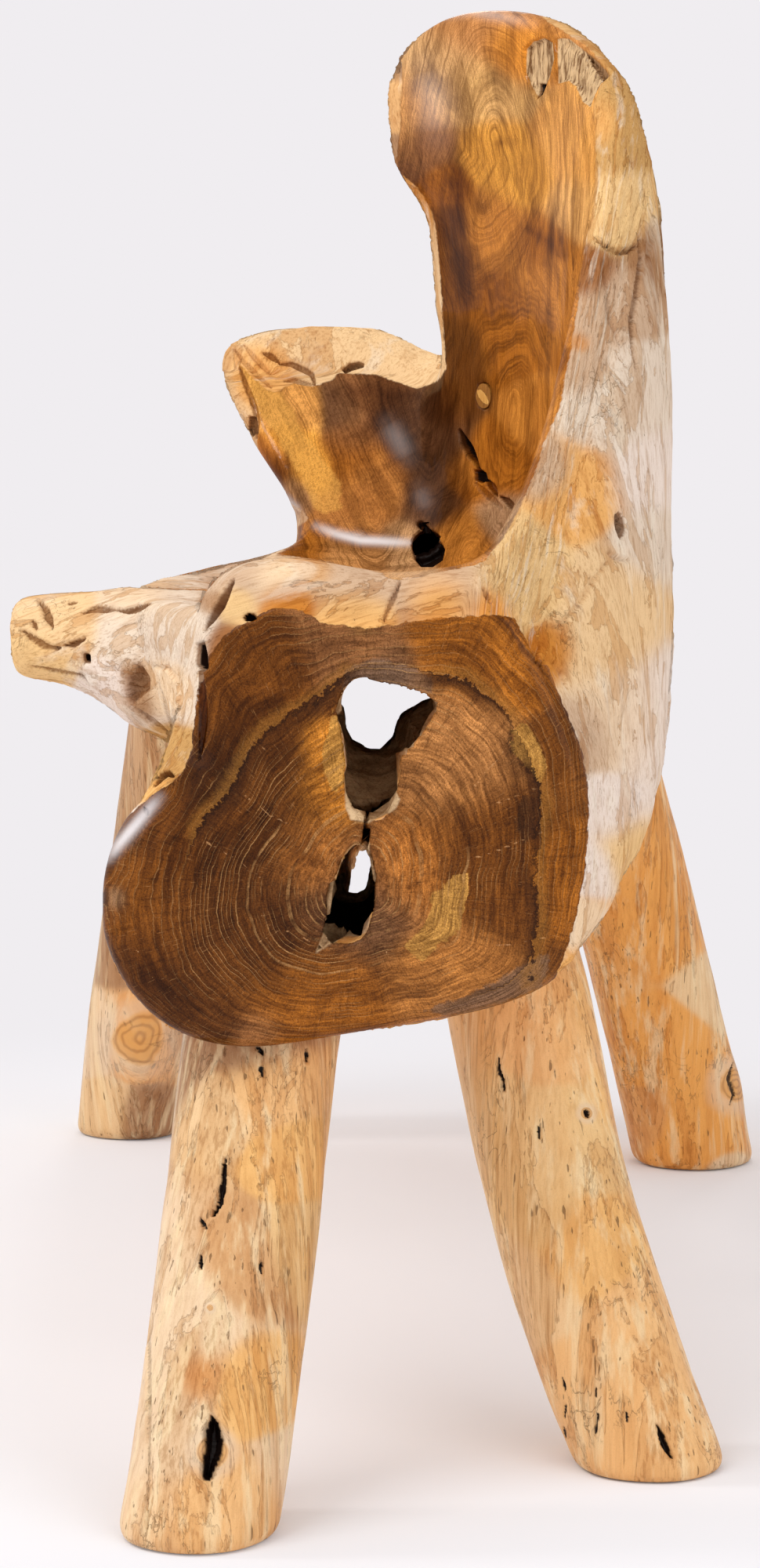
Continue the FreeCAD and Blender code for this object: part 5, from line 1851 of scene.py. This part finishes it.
@dataclass
class Studio:
    """Pale flat floor, soft lamps and a white surround."""

    paper: tuple[float, float, float] = tone(240, 237, 240)
    surround: float = 0.80
    lamps: tuple[tuple[str, tuple, tuple, float, float], ...] = (
        ("soft_key", (1.5, -1.1, 2.2), (-0.05, -0.05, 0.45), 1.3, 17.0),
        ("side_strip", (0.1, -2.1, 1.9), (0.2, 0.0, 0.4), 0.36, 12.0),
        ("fold_strip", (-1.2, 0.1, 2.2), (-0.3, -0.1, 0.45), 0.30, 4.0),
        ("soft_fill", (2.4, 1.3, 1.2), (0.0, 0.0, 0.4), 1.6, 9.0),
        ("back_glow", (-2.4, -0.1, 1.6), (-0.2, 0.0, 0.45), 0.36, 2.5))

    def build(self) -> None:
        """Set up the floor, lamps, surround and camera."""
        self.lay_floor()
        for name, place, aim, size, watts in self.lamps:
            self.hang_lamp(name, place, aim, size, watts)
        self.light_surround()
        SIGHT.set_camera()

    def lay_floor(self) -> None:
        """Lay a flat round sheet of paper, a grid of rings and spokes, under the feet."""
        rings = np.concatenate([[0.0], np.geomspace(0.05, 9.0, 40)])
        turn = np.linspace(0.0, 2.0 * math.pi, 96, endpoint=False)
        far, angle = np.meshgrid(rings, turn, indexing="ij")
        points = np.stack([far * np.cos(angle), far * np.sin(angle), far * 0.0 - 0.0004], axis=-1)
        points = points.reshape(-1, 3)
        i, j = np.meshgrid(np.arange(len(rings) - 1), np.arange(len(turn)), indexing="ij")
        after = (j + 1) % len(turn)
        wide = len(turn)
        inner, outer = i * wide, (i + 1) * wide
        faces = np.stack([inner + j, outer + j, outer + after, inner + after], axis=-1)
        mesh = bpy.data.meshes.new("paper_floor")
        mesh.from_pydata(points.tolist(), [], faces.reshape(-1, 4).tolist())
        mesh.update()
        mesh.materials.append(self.paper_finish())
        floor = bpy.data.objects.new("paper_floor", mesh)
        bpy.context.scene.collection.objects.link(floor)

    def paper_finish(self) -> bpy.types.Material:
        """Matt paper that fades to the surround's colour away from the bench.

        Returns:
            The material.
        """
        work = Finish("paper")
        place = work.place()
        fibre = work.noise(place, 900.0, 3.0, 0.6)
        matt = work.add("ShaderNodeBsdfDiffuse", {
            "Color": (0.88, 0.88, 0.92, 1.0), "Roughness": 0.6,
            "Normal": work.bump(fibre, 0.1, 0.0002)}).outputs[0]
        glow = work.value("ShaderNodeEmission", {"Color": (*self.paper, 1.0), "Strength": 1.0})
        far = work.value("ShaderNodeVectorMath", {0: place}, "Value", operation="LENGTH")
        fade = far.step(0.45, 1.15)
        seen = work.value("ShaderNodeLightPath", {}, "Is Camera Ray")
        share = fade * seen
        mixed = work.add("ShaderNodeMixShader", {0: share, 1: matt, 2: glow}).outputs[0]
        work.add("ShaderNodeOutputMaterial", {"Surface": mixed})
        return work.material

    def hang_lamp(
        self, name: str, place: tuple[float, float, float], aim: tuple[float, float, float],
        size: float, watts: float,
    ) -> None:
        """Hang one square soft lamp, turned to its aim.

        Args:
            name: Name of the new data.
            place: Where the lamp hangs.
            aim: Point that the lamp faces.
            size: Side of the lamp, in metres.
            watts: Its strength.
        """
        data = bpy.data.lights.new(name, "AREA")
        data.shape = "SQUARE"
        data.size = size
        data.energy = watts
        data.color = (1.0, 0.985, 0.96)
        lamp = bpy.data.objects.new(name, data)
        lamp.location = place
        lamp.rotation_euler = (Vector(aim) - Vector(place)).to_track_quat("-Z", "Y").to_euler()
        bpy.context.scene.collection.objects.link(lamp)

    def light_surround(self) -> None:
        """Light evenly from all round, and show the paper's colour to camera and transmission rays."""
        world = bpy.data.worlds.new("surround")
        world.use_nodes = True
        tree = world.node_tree
        tree.nodes.clear()
        path = tree.nodes.new("ShaderNodeLightPath")
        shown = tree.nodes.new("ShaderNodeMath")
        shown.operation = "MAXIMUM"
        tree.links.new(path.outputs["Is Camera Ray"], shown.inputs[0])
        tree.links.new(path.outputs["Is Transmission Ray"], shown.inputs[1])
        light = tree.nodes.new("ShaderNodeBackground")
        light.inputs["Color"].default_value = (1.0, 0.99, 0.98, 1.0)
        light.inputs["Strength"].default_value = self.surround
        back = tree.nodes.new("ShaderNodeBackground")
        back.inputs["Color"].default_value = (*self.paper, 1.0)
        back.inputs["Strength"].default_value = 1.0
        joined = tree.nodes.new("ShaderNodeMixShader")
        tree.links.new(shown.outputs[0], joined.inputs[0])
        tree.links.new(light.outputs[0], joined.inputs[1])
        tree.links.new(back.outputs[0], joined.inputs[2])
        out = tree.nodes.new("ShaderNodeOutputWorld")
        tree.links.new(joined.outputs[0], out.inputs["Surface"])
        bpy.context.scene.world = world


# Assembly


def main() -> None:
    """Build the bench and its studio, and note the sizes before and after."""
    logging.basicConfig(level=logging.INFO, format="%(name)s: %(message)s")
    Studio().build()
    for piece in Root().build():
        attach(piece, "root")
        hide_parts("root_body")
    log_wood = LogFinish().build()
    for log in LOGS:
        piece = log.build(log_wood)
        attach(piece, "root")
        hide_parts(log.node)
        LOG.info("%s: %d faces", piece.name, len(piece.data.polygons))
    for name in Fixings().build():
        LOG.info("%s: dressed", name)
    bpy.context.scene.view_settings.view_transform = "Standard"


if __name__ == "__main__":
    main()
